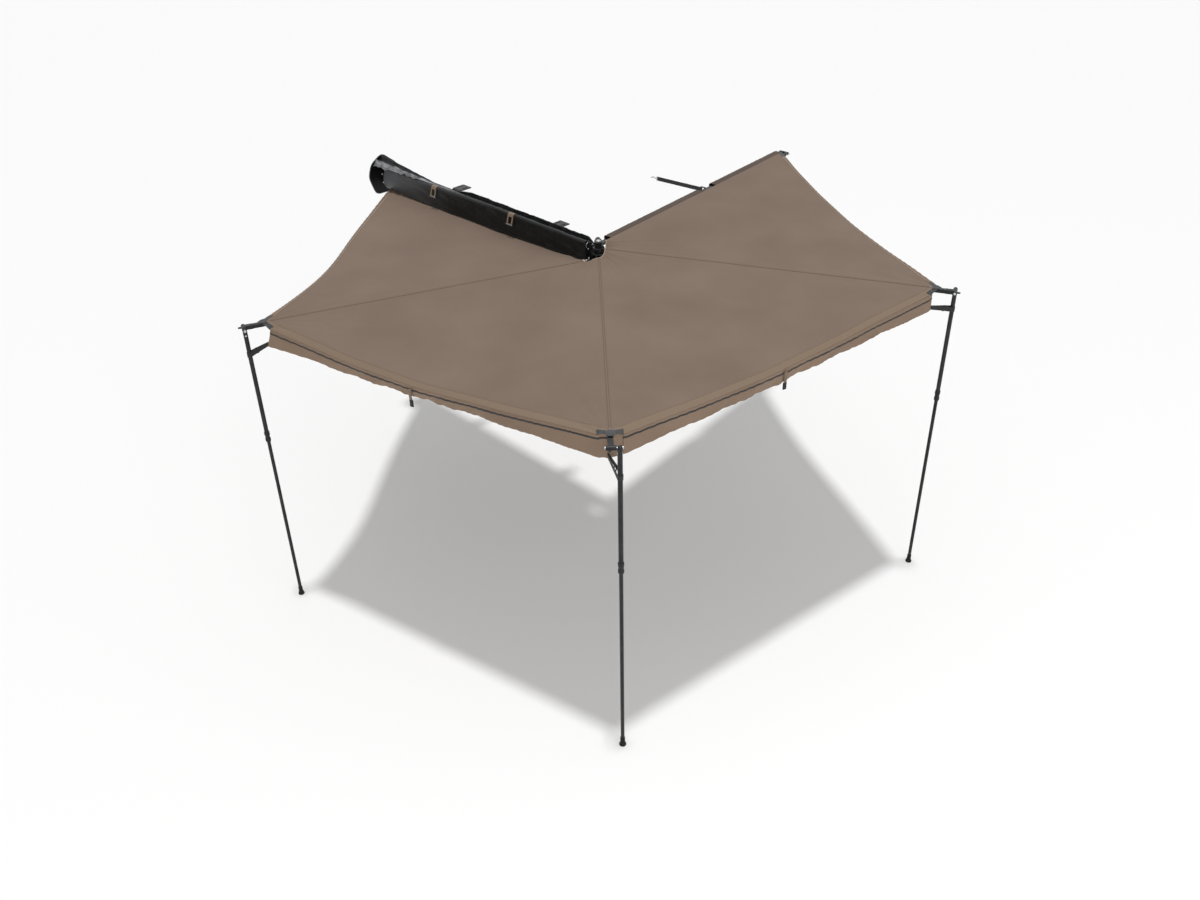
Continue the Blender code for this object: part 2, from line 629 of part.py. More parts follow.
def build_hub(hub):
    """Bracket on the bar's end with two ears, its bolts, and the pin that the rafters turn on."""
    near = BAR_FRONT + BAR_DEPTH - GAP
    reach = STACK / 2 + EAR_THICKNESS
    face = END_PLATE_X + END_PLATE
    plate = prism([(BAR_BACK, BAR_BOTTOM), (near, BAR_BOTTOM), (near, reach), (EAR_BACK, reach),
                   (BAR_BACK, BAR_TOP)], END_PLATE_X, face, "X")
    ears = []
    for low, high, back in ((STACK / 2, reach, EAR_BACK), (-reach, -STACK / 2, BAR_BACK)):
        corners = [(face, near), (face, back), (END_PLATE_X, back)]
        ears.append(prism(hull(arc((0, 0), EAR_RADIUS, 0, 342, 20) + corners), low, high))
    bore = rod(PIN_RADIUS + PIN_FIT, -reach - GAP, reach + GAP)
    holes = [rod(END_BOLT_RADIUS + GAP, END_PLATE_X - GAP, BAR_START, "X", place, 16) for place in END_BOLTS]
    piece("hub_bracket", carved(plate, ears, [bore] + holes), "powder_coat", hub)
    head = END_PLATE_X - GAP
    profile = [(0, head - END_BOLT_HEAD), (END_BOLT_HEAD * 0.9, head - END_BOLT_HEAD),
               (END_BOLT_HEAD_RADIUS, head - END_BOLT_HEAD * 0.6), (END_BOLT_HEAD_RADIUS, head),
               (END_BOLT_RADIUS, head), (END_BOLT_RADIUS, BAR_START + END_BOLT_DEPTH),
               (0, BAR_START + END_BOLT_DEPTH)]
    for number, place in enumerate(END_BOLTS, 1):
        piece("hub_bolt_%d" % number, turned(profile, 16, "X", place), "steel", hub)
    top, low = reach + GAP, -reach - GAP
    end = low - NUT_HEIGHT - PIN_END
    pin = [(0, top + PIN_HEAD), (PIN_HEAD_RADIUS * 0.8, top + PIN_HEAD),
           (PIN_HEAD_RADIUS, top + PIN_HEAD * 0.6), (PIN_HEAD_RADIUS, top), (PIN_RADIUS, top),
           (PIN_RADIUS, end), (0, end)]
    nut = prism(arc((0, 0), PIN_HEAD_RADIUS, 0, 300, 6), low - NUT_HEIGHT, low)
    piece("hub_pin", carved(turned(pin), [nut]), "steel", hub)


# Bag

def cover_edge(x):
    """Height of the cover's lower edge: a straight line, or just above the canopy where that is higher."""
    share = (x - COVER_START) / (COVER_END - COVER_START)
    canopy = canopy_height(max(x, COVER_OVER_CANOPY[0]), COVER_FRONT) + FABRIC + COVER_CLEARANCE
    return max(COVER_EDGE[0] + (COVER_EDGE[1] - COVER_EDGE[0]) * share, canopy)


def cover_slope():
    """Tilt of the cover's top in degrees, from the hinge up to where it meets the round front corner."""
    rise = COVER_TOP - COVER_CORNER - COVER_PIVOT[1]
    run = COVER_FRONT - COVER_CORNER - COVER_PIVOT[0]
    past = math.asin((COVER_CORNER - COVER_THICKNESS / 2) / math.hypot(run, rise))
    return math.degrees(math.atan2(rise, run) + past)


def cover_hood():
    """Loose front end of the cover, in the frame of the cover's hinge: it lies on the top at its
    start, and at the end panel it rises from its back edge to a ridge and falls to a free flap."""
    along, across = np.meshgrid(np.linspace(0, 1, 11), np.linspace(0, 1, 13), indexing="ij")
    tilt = math.tan(math.radians(cover_slope()))
    over = COVER_THICKNESS / 2 / math.cos(math.radians(cover_slope())) - HOOD_SINK
    lines = (0.0, 0.5, 0.8, 1.0)
    flat = np.interp(across, lines, (HOOD_ROOT, *HOOD_FLAT)) - COVER_PIVOT[0]
    root = (HOOD_ROOT, (HOOD_ROOT - COVER_PIVOT[0]) * tilt + over + COVER_PIVOT[1])
    risen = (root, HOOD_PEAK, HOOD_CREASE, HOOD_EDGE)
    risen = [np.interp(across, lines, [point[k] for point in risen]) for k in (0, 1)]
    y = flat + along * (risen[0] - COVER_PIVOT[0] - flat)
    z = flat * tilt + over + along * (risen[1] - COVER_PIVOT[1] - flat * tilt - over)
    grid = np.stack([HOOD_START + along * (HOOD_END - HOOD_START), y, z], axis=-1)
    return slab(grid, grid + np.array([0, 0, HOOD_THICKNESS]))


def rear_wall(corner, slope):
    """Closed rear end between the cover's face and top, in the frame of the cover's hinge."""
    middle = COVER_CORNER - COVER_THICKNESS / 2
    rest = [(y - COVER_PIVOT[0], z - COVER_PIVOT[1]) for y, z in REAR_WALL_FOOT]
    head = (rest[0][0], rest[0][0] * math.tan(math.radians(slope)))
    foot = (corner[0] + middle, cover_edge(COVER_START) - COVER_PIVOT[1] + REAR_WALL)
    return prism([head, *rest, foot] + arc(corner, middle, 0, 90 + slope, 6), COVER_START,
                 COVER_START + REAR_WALL, "X")


def build_bag(hub):
    """Hinged cover with its straps, and the end panel of the bag."""
    pivot = empty("cover_hinge", hub, (0, *COVER_PIVOT))
    front = COVER_FRONT - COVER_PIVOT[0]
    neck = math.degrees(math.asin(COVER_THICKNESS / 2 / BEAD_RADIUS))
    slope = cover_slope()
    bead = arc((0, 0), BEAD_RADIUS, slope + neck, slope + 360 - neck, 13)
    corner = (front - COVER_CORNER, COVER_TOP - COVER_CORNER - COVER_PIVOT[1])
    outer = arc(corner, COVER_CORNER, 0, 90 + slope, 6)
    inner = arc(corner, COVER_CORNER - COVER_THICKNESS, 90 + slope, 0, 6)
    stations = [COVER_START, *COVER_OVER_CANOPY, *np.geomspace(COVER_OVER_CANOPY[1] + 0.030, COVER_END, 10)]
    sections = []
    for x in stations:
        low = cover_edge(x) - COVER_PIVOT[1]
        section = bead + inner + [(front - COVER_THICKNESS, low), (front, low)] + outer
        sections.append([(x, y, z) for y, z in section])
    cover = carved(loft(sections), [cover_hood(), rear_wall(corner, slope)])
    piece("bag_cover", cover, "pvc", pivot)
    for name, x in zip(("rear", "front"), STRAP_X):
        piece("bag_strap_%s" % name, bag_strap(x, corner, slope), "taupe_webbing", pivot)
    corners = (END_PANEL_PEAK, END_PANEL_BACK, END_PANEL_HEEL, END_PANEL_CHIN, END_PANEL_NOSE, END_PANEL_BROW)
    piece("bag_end_panel", prism(eased(corners, END_PANEL_EASE), END_PANEL_X, END_PANEL_X + END_PANEL, "X"), "pvc", hub)


def bag_strap(x, corner, slope):
    """Wide webbing that hangs from the cover's front corner and leans out, open in its middle, with
    the bar of its buckle in its end."""
    inner = arc(corner, COVER_CORNER + GAP, 90 + slope, STRAP_LEAN, 6)
    outer = arc(corner, COVER_CORNER + GAP + WEBBING, STRAP_LEAN, 90 + slope, 6)
    lean = math.radians(STRAP_LEAN)
    run = (STRAP_LENGTH * math.sin(lean), -STRAP_LENGTH * math.cos(lean))
    ends = [(y + run[0], z + run[1]) for y, z in (inner[-1], outer[0])]
    low, high = x - STRAP_WIDTH / 2, x + STRAP_WIDTH / 2
    window = box((low + STRAP_BORDER, corner[0], ends[0][1] + STRAP_HEM),
                 (high - STRAP_BORDER, ends[1][0] + WEBBING, inner[-1][1] - STRAP_HEAD))
    middle = [(ends[0][k] + ends[1][k]) / 2 for k in (0, 1)]
    bar = rod(BUCKLE_BAR, low - BUCKLE_BAR, high + BUCKLE_BAR, "X", middle, 12)
    return carved(prism(inner + ends + outer, low, high, "X"), [bar], [window])


# Rafters

def hub_knuckle():
    """Eye on the pin with a plug for the rafter."""
    eye = rod(EYE_RADIUS, -EYE_HEIGHT / 2, EYE_HEIGHT / 2, sides=20)
    width, height = KNUCKLE_WIDTH / 2, KNUCKLE_HEIGHT / 2
    neck = box((PIN_RADIUS, -width, -height), (KNUCKLE_REACH, width, height))
    bore = rod(PIN_RADIUS + PIN_FIT, -EYE_HEIGHT, EYE_HEIGHT)
    return carved(eye, [neck, plug(KNUCKLE_REACH - PLUG_ROOT, KNUCKLE_REACH + PLUG_LENGTH)], [bore])


def plug(start, stop):
    """Block that fits inside a rafter's end."""
    shrink = 2 * (RAFTER_WALL + GAP)
    outline = rounded_rectangle(RAFTER_WIDTH - shrink, RAFTER_HEIGHT - shrink, PLUG_CORNER, 2)
    return prism(outline, start, stop, "X")


def rafter(length_from, length_to):
    """Box tube."""
    walls = 2 * RAFTER_WALL
    outer = rounded_rectangle(RAFTER_WIDTH, RAFTER_HEIGHT, RAFTER_CORNER)
    inner = rounded_rectangle(RAFTER_WIDTH - walls, RAFTER_HEIGHT - walls, PLUG_CORNER)
    return hollow_prism(outer, inner, length_from, length_to, "X")


def tip_knuckle(side):
    """End fitting about the leg's pivot: plug, body, cross tube and the eyelet for a guy rope."""
    near = -side * (RAFTER_WIDTH / 2 + CROSS_TUBE_PAST)
    far = side * (LEG_OFFSET - LEG_RADIUS - CROSS_TUBE_TO_LEG)
    low, high = min(near, far), max(near, far)
    half_width, half_height = RAFTER_WIDTH / 2, RAFTER_HEIGHT / 2
    body = box((-TIP_BODY, -half_width, -half_height), (-PIN_FIT, half_width, half_height))
    cross = rod(CROSS_TUBE_RADIUS, low, high, "Y")
    y = -side * EYELET_SIDE
    half = EYELET_THICKNESS / 2
    tongue = box((BOLT_RADIUS, y - EYELET_RADIUS, -half), (EYELET_REACH, y + EYELET_RADIUS, half))
    end = rod(EYELET_RADIUS, -half, half, centre=(EYELET_REACH, y))
    hole = rod(EYELET_HOLE, -EYELET_THICKNESS, EYELET_THICKNESS, centre=(EYELET_REACH, y))
    bore = rod(BOLT_RADIUS + BOLT_FIT, low - GAP, high + GAP, "Y")
    inside = plug(-TIP_BODY - PLUG_LENGTH, -TIP_BODY + PLUG_ROOT)
    return carved(body, [inside, cross, tongue, end], [hole, bore])


def pivot_bolt(side):
    """Bolt through the cross tube and the leg's head, with a domed nut."""
    start = RAFTER_WIDTH / 2 + CROSS_TUBE_PAST + GAP
    stop = LEG_OFFSET + LEG_RADIUS + GAP
    profile = [(0, -start - BOLT_HEAD), (BOLT_HEAD_RADIUS * 0.7, -start - BOLT_HEAD),
               (BOLT_HEAD_RADIUS, -start - BOLT_HEAD / 2), (BOLT_HEAD_RADIUS, -start), (BOLT_RADIUS, -start),
               (BOLT_RADIUS, stop), (BOLT_HEAD_RADIUS, stop), (BOLT_HEAD_RADIUS, stop + BOLT_HEAD / 2),
               (BOLT_HEAD_RADIUS * 0.7, stop + BOLT_HEAD), (0, stop + BOLT_HEAD)]
    return turned([(r, side * h) for r, h in profile], 16, "Y")


# Legs: each is drawn about its own axis, from the pivot down

def upper_tube():
    """Tube with a solid round head, bored for the pivot bolt."""
    dome = [(LEG_RADIUS * math.cos(a), LEG_RADIUS * math.sin(a)) for a in np.radians((67.5, 45, 22.5, 0))]
    bore = LEG_RADIUS - LEG_WALL
    profile = [(0, LEG_RADIUS), *dome, (LEG_RADIUS, -UPPER_TUBE), (bore, -UPPER_TUBE), (bore, -LEG_HEAD),
               (0, -LEG_HEAD)]
    hole = rod(BOLT_RADIUS + BOLT_FIT, -2 * LEG_RADIUS, 2 * LEG_RADIUS, "Y")
    return carved(turned(profile), (), [hole])


def twist_collar():
    """Twist lock at the upper tube's end, gripping the inner tube below it."""
    low = -UPPER_TUBE - COLLAR_BELOW
    top = low + COLLAR_LENGTH
    middle, waist = (top + low) / 2, COLLAR_RADIUS - COLLAR_GROOVE
    mouth, seat = INNER_RADIUS + 2 * GAP, LEG_RADIUS + GAP
    shoulder = COLLAR_WAIST / 2 + COLLAR_GROOVE
    outside = [(seat, top), (waist, top), (COLLAR_RADIUS, top - COLLAR_GROOVE),
               (COLLAR_RADIUS, middle + shoulder), (waist, middle + COLLAR_WAIST / 2),
               (waist, middle - COLLAR_WAIST / 2), (COLLAR_RADIUS, middle - shoulder),
               (COLLAR_RADIUS, low + 3 * COLLAR_GROOVE), (mouth + COLLAR_GROOVE, low)]
    inside = [(mouth, low), (mouth, -UPPER_TUBE - GAP), (seat, -UPPER_TUBE - GAP)]
    return turned(outside + inside)


def inner_tube():
    """Lower tube, from its top at 0 to inside the foot."""
    bore, low = INNER_RADIUS - INNER_WALL, -INNER_REACH + FOOT_SOLE + GAP
    return turned([(INNER_RADIUS, 0), (INNER_RADIUS, low), (bore, low), (bore, 0)])


def rubber_foot():
    """Flared cap over the inner tube's end."""
    low, pocket = -INNER_REACH, INNER_RADIUS + GAP
    return turned([(0, low), (FOOT_RADIUS - FOOT_EDGE, low), (FOOT_RADIUS, low + FOOT_EDGE),
                   (FOOT_RADIUS, low + FOOT_FLARE / 4), (FOOT_TOP_RADIUS + FOOT_EDGE, low + FOOT_FLARE * 0.7),
                   (FOOT_TOP_RADIUS, low + FOOT_FLARE), (FOOT_TOP_RADIUS, low + FOOT_HEIGHT),
                   (pocket, low + FOOT_HEIGHT), (pocket, low + FOOT_SOLE), (0, low + FOOT_SOLE)])


def build_leg(name, arm, meshes):
    """Leg at a rafter's tip. The fourth one is folded in under the canopy and pushed home."""
    folded = name == "d"
    turn = math.radians(FOLDED) if folded else 0.0
    axis = empty("leg_%s_hinge" % name, arm, (LEG_PIVOT_RADIUS[name], 0, 0), (0, turn, 0))
    y = LEG_SIDE[name] * LEG_OFFSET
    reach = STOWED_DEPTH if folded else HUB_HEIGHT + LEVEL[name] - INNER_REACH
    piece("leg_upper_%s" % name, meshes["upper"], "anodised", axis, (0, y, 0))
    piece("leg_collar_%s" % name, meshes["collar"], "nylon", axis, (0, y, 0))
    piece("leg_inner_%s" % name, meshes["inner"], "anodised", axis, (0, y, -reach))
    piece("leg_foot_%s" % name, meshes["foot"], "rubber", axis, (0, y, -reach))


def build_rafters(hub):
    """Rafters with their knuckles, bolts and legs."""
    meshes = {"upper": upper_tube(), "collar": mesh_of(twist_collar()), "inner": mesh_of(inner_tube()),
              "foot": mesh_of(rubber_foot())}
    knuckle = hub_knuckle()
    tips = {name: tip_knuckle(LEG_SIDE[name]) for name in RAFTERS}
    arms = {}
    for name in RAFTERS:
        arm = empty("rafter_%s_axis" % name, hub, (0, 0, LEVEL[name]), (0, 0, math.radians(ANGLE[name])))
        pivot = LEG_PIVOT_RADIUS[name]
        piece("hub_knuckle_%s" % name, knuckle, "coated_alloy", arm)
        piece("rafter_%s" % name, rafter(KNUCKLE_REACH + GAP, pivot - TIP_BODY - GAP), "coated_alloy", arm)
        piece("tip_knuckle_%s" % name, tips[name], "nylon", arm, (pivot, 0, 0))
        piece("pivot_bolt_%s" % name, pivot_bolt(LEG_SIDE[name]), "steel", arm, (pivot, 0, 0))
        build_leg(name, arm, meshes)
        arms[name] = arm
    return arms


# Fabric

def build_canopy(hub, arms):
    """Four panels, two valances and the sleeve round the fourth rafter."""
    piece("panel_bar_a", beaded_panel(), "canvas", hub)
    for index, name in ((1, "a_b"), (2, "b_c"), (3, "c_d")):
        piece("panel_%s" % name, panel(index), "canvas", hub)
    for index, name in ((1, "a_b"), (2, "b_c")):
        piece("valance_%s" % name, valance(index), "canvas", hub)
    top = CANOPY_LEVEL["d"] + FABRIC - LEVEL["d"]
    low = -RAFTER_HEIGHT / 2 - SLEEVE_FIT - SLEEVE_WALL
    outer = rounded_rectangle(SLEEVE_WIDTH, top - low, SLEEVE_CORNER)
    walls = 2 * SLEEVE_WALL
    inner = rounded_rectangle(SLEEVE_WIDTH - walls, top - low - walls, SLEEVE_CORNER - SLEEVE_WALL)
    tube = moved(hollow_prism(outer, inner, SLEEVE_START, CANOPY_RADIUS["d"], "X"), z=(top + low) / 2)
    window = box((TIE_RADIUS - TIE_WINDOW / 2, SLEEVE_WALL * 2 - SLEEVE_HALF, -SLEEVE_WIDTH),
                 (TIE_RADIUS + TIE_WINDOW / 2, SLEEVE_WIDTH, SLEEVE_WIDTH))
    piece("rafter_sleeve_d", carved(tube, (), [window]), "canvas", arms["d"])


def valance_corner(name):
    """Corner of a valance that the leg's strap ties to, in the rafter's frame."""
    index = 1 if name in "ab" else 2
    side = VALANCE_START if name == "a" else -VALANCE_STOP[name]
    share = hem_share(index, side)
    x, y, z = hem(index, share)
    turn = math.radians(-ANGLE[name])
    return x * math.cos(turn) - y * math.sin(turn), x * math.sin(turn) + y * math.cos(turn), z - LEVEL[name]


def build_leg_straps(arms):
    """Webbing loops that tie the valance's corners to the standing legs."""
    for name in "abc":
        cx, cy, cz = valance_corner(name)
        leg = (LEG_PIVOT_RADIUS[name], LEG_OFFSET)
        length = math.hypot(cx - leg[0], cy - leg[1]) - VALANCE_INSET - FABRIC
        heading = math.degrees(math.atan2(cy - leg[1], cx - leg[0]))
        outlines = []
        for radius in (LEG_RADIUS + LEG_STRAP_FIT + LEG_STRAP_WALL, LEG_RADIUS + LEG_STRAP_FIT):
            end = radius - LEG_RADIUS
            tip = length - (LEG_STRAP_FIT + LEG_STRAP_WALL)
            outlines.append(arc((0, 0), radius, 75, 285, 17) + arc((tip, 0), end, -75, 75, 5))
        top = cz - LEG_STRAP_DROP
        verts, faces = hollow_prism(*outlines, top - LEG_STRAP_HEIGHT, top)
        fall = LEG_STRAP_FALL[name] / length
        loop = [(x, y, z - fall * (length - x)) for x, y, z in verts], faces
        piece("leg_strap_%s" % name, moved(loop, *leg, turn=heading), "webbing", arms[name])


def build_tie(arm):
    """Bracket on the fourth rafter and the strap that hooks on to a roof bar."""
    fit = 2 * GAP
    outer = rounded_rectangle(RAFTER_WIDTH + fit + 2 * TIE_WALL, RAFTER_HEIGHT + fit + 2 * TIE_WALL, TIE_WALL)
    inner = rounded_rectangle(RAFTER_WIDTH + fit, RAFTER_HEIGHT + fit, RAFTER_CORNER)
    clamp = hollow_prism(outer, inner, TIE_RADIUS - TIE_BRACKET / 2, TIE_RADIUS + TIE_BRACKET / 2, "X")
    wall = RAFTER_WIDTH / 2 + GAP + TIE_WALL / 2
    cheek = TIE_WIDTH / 2 + TIE_EAR_GAP
    top = cheek + TIE_EAR_THICKNESS
    near, far = TIE_RADIUS - TIE_EAR_RADIUS, TIE_RADIUS + TIE_EAR_RADIUS
    plate = box((near, wall, -top), (far, wall + TIE_WALL, top))
    pin = rod(TIE_PIN_RADIUS, -top, top, centre=(TIE_RADIUS, TIE_EAR))
    ear = hull(arc((TIE_RADIUS, TIE_EAR), TIE_EAR_RADIUS, 0, 180, 10) + [(near, wall), (far, wall)])
    ears = [prism(ear, cheek, top), prism(ear, -top, -cheek)]
    piece("tie_bracket", carved(clamp, [plate, pin] + ears), "powder_coat", arm)
    pivot = empty("tie_hinge", arm, (TIE_RADIUS, TIE_EAR, 0))
    half = TIE_WIDTH / 2
    eye = TIE_PIN_RADIUS + GAP
    webbing = box((-TIE_THICKNESS / 2, eye, -half), (TIE_THICKNESS / 2, TIE_LENGTH, half))
    loop = rod(eye + TIE_THICKNESS, -half, half)
    strap = carved(webbing, [loop], [rod(eye, -half - GAP, half + GAP)])
    piece("tie_strap", strap, "webbing", pivot)
    start = TIE_LENGTH + GAP
    shank = start + HOOK_BUCKLE + HOOK_SHANK
    middle = (0, shank + HOOK_THROAT / 2)
    bend = arc(middle, HOOK_THROAT / 2 + 2 * HOOK_WIRE, -90, 150, 12)
    bend += arc(middle, HOOK_THROAT / 2, 150, -90, 12)
    buckle = box((-HOOK_BUCKLE / 2, start, -half), (HOOK_BUCKLE / 2, start + HOOK_BUCKLE, half))
    neck = box((-HOOK_WIRE, start + HOOK_BUCKLE / 2, -HOOK_WIRE), (HOOK_WIRE, shank - HOOK_WIRE, HOOK_WIRE))
    piece("tie_hook", carved(buckle, [neck, prism(bend, -HOOK_WIRE, HOOK_WIRE)]), "steel", pivot)


def main():
    for old in list(bpy.data.objects):
        bpy.data.objects.remove(old)
    hub = empty("hub_axis", location=HUB)
    build_bar(hub)
    build_brackets(hub)
    build_hub(hub)
    build_bag(hub)
    arms = build_rafters(hub)
    build_canopy(hub, arms)
    build_leg_straps(arms)
    build_tie(arms["d"])


main()
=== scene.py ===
"""Looks of a fan awning: four rafters on one pin spread a canopy from a bag on a backing bar.

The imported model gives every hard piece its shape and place. This script rounds the edges of those,
gives them their finishes, and makes the cloth, webbing, cover, tubes, collars and feet as finer
meshes in the same places. Metres, +Z up.

Two frames are used besides the part's own: the hub's, whose origin is the pin's middle, and each
rafter's, with x along it, y to its counter-clockwise side and its origin on the pin.
"""
import json
import math

import bmesh
import bpy
import numpy as np
from mathutils import Matrix, Vector


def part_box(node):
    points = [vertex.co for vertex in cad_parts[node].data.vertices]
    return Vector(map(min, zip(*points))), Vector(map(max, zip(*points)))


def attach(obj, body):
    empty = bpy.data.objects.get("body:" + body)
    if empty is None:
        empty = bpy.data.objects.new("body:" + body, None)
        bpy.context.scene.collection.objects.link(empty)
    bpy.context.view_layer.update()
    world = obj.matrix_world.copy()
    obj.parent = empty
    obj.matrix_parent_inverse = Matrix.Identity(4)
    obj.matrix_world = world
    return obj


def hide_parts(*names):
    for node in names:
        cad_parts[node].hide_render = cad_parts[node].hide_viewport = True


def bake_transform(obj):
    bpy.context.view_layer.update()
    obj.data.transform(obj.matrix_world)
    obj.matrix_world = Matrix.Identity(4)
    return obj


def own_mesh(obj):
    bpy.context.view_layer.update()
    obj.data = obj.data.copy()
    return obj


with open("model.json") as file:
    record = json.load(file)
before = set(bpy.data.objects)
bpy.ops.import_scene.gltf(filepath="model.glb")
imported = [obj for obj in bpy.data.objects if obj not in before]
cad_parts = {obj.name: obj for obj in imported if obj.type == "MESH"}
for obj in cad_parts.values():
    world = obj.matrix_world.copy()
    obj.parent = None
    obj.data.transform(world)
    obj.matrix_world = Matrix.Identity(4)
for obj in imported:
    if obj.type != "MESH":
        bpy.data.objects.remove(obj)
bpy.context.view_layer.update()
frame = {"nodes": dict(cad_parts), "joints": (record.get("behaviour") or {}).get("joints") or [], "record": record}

# Camera: its eye in the part's frame, and its turns in degrees
IMAGE_WIDTH = 1200
FOCAL_PIXELS = 1090.0
SENSOR = 36.0
EYE = (-4.498, 4.032, 2.352)
YAW, PITCH, ROLL = -43.83, 33.0, -1.21

# Fan, from the frame's joints
RAFTERS = "abcd"
JOINT = {joint["name"]: joint for joint in frame["joints"]}
BODY_OF = {name: body for body, names in frame["record"]["behaviour"]["bodies"].items() for name in names}
HUB = np.array(JOINT["arm_a_swing"]["pos_m"]) * (1, 1, 0)
PIVOT = {name: np.array(JOINT["leg_%s_fold" % name]["pos_m"]) - HUB for name in RAFTERS}
REACH = {name: math.hypot(PIVOT[name][0], PIVOT[name][1]) for name in RAFTERS}
ANGLE = {name: math.atan2(PIVOT[name][1], PIVOT[name][0]) % (2 * math.pi) for name in RAFTERS}
LEVEL = {name: PIVOT[name][2] for name in RAFTERS}
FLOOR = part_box("leg_foot_a")[0][2]

# Rafters and legs
RAFTER_TOP = 0.010
LEG_OFFSET = {"a": 0.036, "b": 0.036, "c": 0.036, "d": -0.036}
LEG_TURN = {"a": 0.0, "b": 0.0, "c": 0.0, "d": math.pi / 2}
LEG_RADIUS = 0.011
INNER_RADIUS = 0.0092
UPPER_TUBE = 0.610
INNER_LENGTH = 1.220
COLLAR_LENGTH = 0.060
COLLAR_BELOW = 0.035
COLLAR_RADIUS = 0.014
COLLAR_RIBS = 24
FOOT_RADIUS = 0.017
FOOT_NECK = 0.0115
FOOT_HEIGHT = 0.050
STOWED_DEPTH = 0.045
UPPER_WALL = 0.0015
INNER_WALL = 0.0012
PLUG_DEPTH = 0.030
DOME_ANGLES = (78, 66, 54, 42, 30, 15, 0)
COLLAR_LOW = -UPPER_TUBE - COLLAR_BELOW
COLLAR_TOP = COLLAR_LOW + COLLAR_LENGTH
COLLAR_MIDDLE = (COLLAR_TOP + COLLAR_LOW) / 2
COLLAR_WAIST = (0.0070, 0.0095)
RIB_HEIGHT = 0.030
NECK_GROOVES = (0.029, 0.034, 0.039)
BOOT_POCKET = 0.0201
LEG_RIVET = ((0, 0.0016), (0.0034, 0.0013), (0.0046, 0.0), (0.0046, -0.001), (0, -0.001))
RIVET_DROP = 0.026
INNER_TOP = {name: FLOOR - LEVEL[name] + INNER_LENGTH for name in "abc"}
INNER_TOP["d"] = -STOWED_DEPTH

# Webbing loops at the legs: where on the skirt's depth they join, and their lifts off the tube
LOOP_JOINS = 0.86
LOOP_FALL = 0.0055
LOOP_WIDTH = 0.025
LOOP_LIFT = (0.0024, 0.0006)
LOOP_ROWS, LOOP_COLUMNS = 9, 96
LOOP_BUCKLE = (0.030, 0.013, 0.004)
LOOP_BUCKLE_AT = 0.40

# Canopy
FABRIC = 0.0015
HUB_OPENING = {"a": 0.090, "b": 0.065, "c": 0.036, "d": 0.046}
HUB_SPACERS = ((-0.030, 0.040), (0.0, 0.040), (0.030, 0.033))
SPACER_BORE = 0.0105
SPACER_HALF = 0.002
SLEEVE_START = 0.090
SLEEVE_CLOTH = 0.0012
SLEEVE_SIDES = 64
BRIDGE = (0.004, -0.0112, 0.0175)
CORNER_RADIUS = {"a": 1.835, "b": 1.880, "c": 1.810, "d": 1.908}
CANOPY_RUN = CORNER_RADIUS["a"] - HUB_OPENING["a"]
CANOPY_REST = 0.0006
CANOPY_TOP = RAFTER_TOP + CANOPY_REST + FABRIC
OVER_FOLDED_LEG = 0.0176
CANOPY_HEIGHT = {name: LEVEL[name] + RAFTER_TOP + CANOPY_REST for name in "abc"}
CANOPY_HEIGHT["d"] = LEVEL["d"] + OVER_FOLDED_LEG
BAR_LINE = -0.0547
BAR_EDGE_HEIGHT = -0.09075
BAR_EDGE = (0.062, 1.985)
CANOPY_DROP = (0.035, 0.066, 0.048, 0.035)
RIDGE_SOFTNESS = 0.04
HEM_SAG = (0.107, 0.001, 0.003, 0.043)
HEM_SKEW = (3, 1, 1, 2)
FIRST_RISE = (1.3, 2.6, 1.4)
SEAM_GAP = 0.0004
SLEEVE_HALF = 0.0185
SLEEVE_SLACK = 1.7
HEM_BAND = (0.018, 0.042, 0.042, 0.018)
CORD_WIDTH = 0.005
COLUMN_COUNT, BODY_ROWS, BAND_ROWS = 200, 92, 9

# Lift off the canopy and thickness of what is sewn on it
HEM_SEWN = (0.0003, 0.0007)
CORD_SEWN = (0.0004, 0.0012)
PATCH_SEWN = (0.0012, 0.0012)
BAND_DROP = (0.0, 0.020, 0.020, 0.0)
CORNER_CLEAR = 0.055
PATCH_REACH = 0.056
PATCH_DEPTH = 0.024
TAB_SPAN = (-0.034, 0.008)
TAB_HALF = (0.024, 0.0142)
TAB_NARROWS = 0.050
TAB_BEND = (-0.012, 0.030)
TAB_FALL = (0.0022, 0.0085)
TAB_LIFT = 0.0030
TAB_THICK = 0.0014
TRIM_RADIUS = 0.0027
TRIM_MAP = 0.1
SEAM_HALF = 0.007
SEAM_LIFT = 0.0003
SEAM_THICK = 0.0008
CORNER_RIVET = ((0, 0.0022), (0.003, 0.0018), (0.0052, 0.0006), (0.0056, 0), (0.0056, -0.0004),
                (0, -0.0004))
RIVET_INSET = 0.048
VALANCE_ENDS = {1: (0.086, 0.112), 2: (0.090, 0.090)}
VALANCE_MIDDLE = {1: 0.052, 2: 0.066}
VALANCE_START = 0.055
VALANCE_STOP = {"b": 0.015, "c": 0.042}
VALANCE_FOLDS = 7
VALANCE_PULL = {"a": 0.028, "b": 0.010, "c": 0.004}
TOGGLE_AT = {1: 0.476, 2: 0.47}
TAB_BELOW = 0.012
TOGGLE_TAB = 0.062
TOGGLE_WEBBING = (0.018, 0.0024, 0.0010)
TOGGLE_CLIP = (0.020, 0.0075, 0.030)
ZIP_DROP = {1: (0.018, 0.018), 2: (0.014, 0.026)}
ZIP_TAPE = (0.0050, 0.0100, 0.0018)
EDGE_RADIUS = 0.0017
SKIRT_RUN = 2.15
SKIRT_FOLD = (0.0050, 0.0022, 0.0016)
SKIRT_RIPPLES = 19
SKIRT_LEAN = 0.006
SKIRT_BEHIND = 0.0040
SKIRT_BELOW = 0.0018
GUSSET_LAP = 0.04
GUSSET_BOW = 0.004
GUSSET_BEHIND = 0.0018
GUSSET_LIFT = 0.008

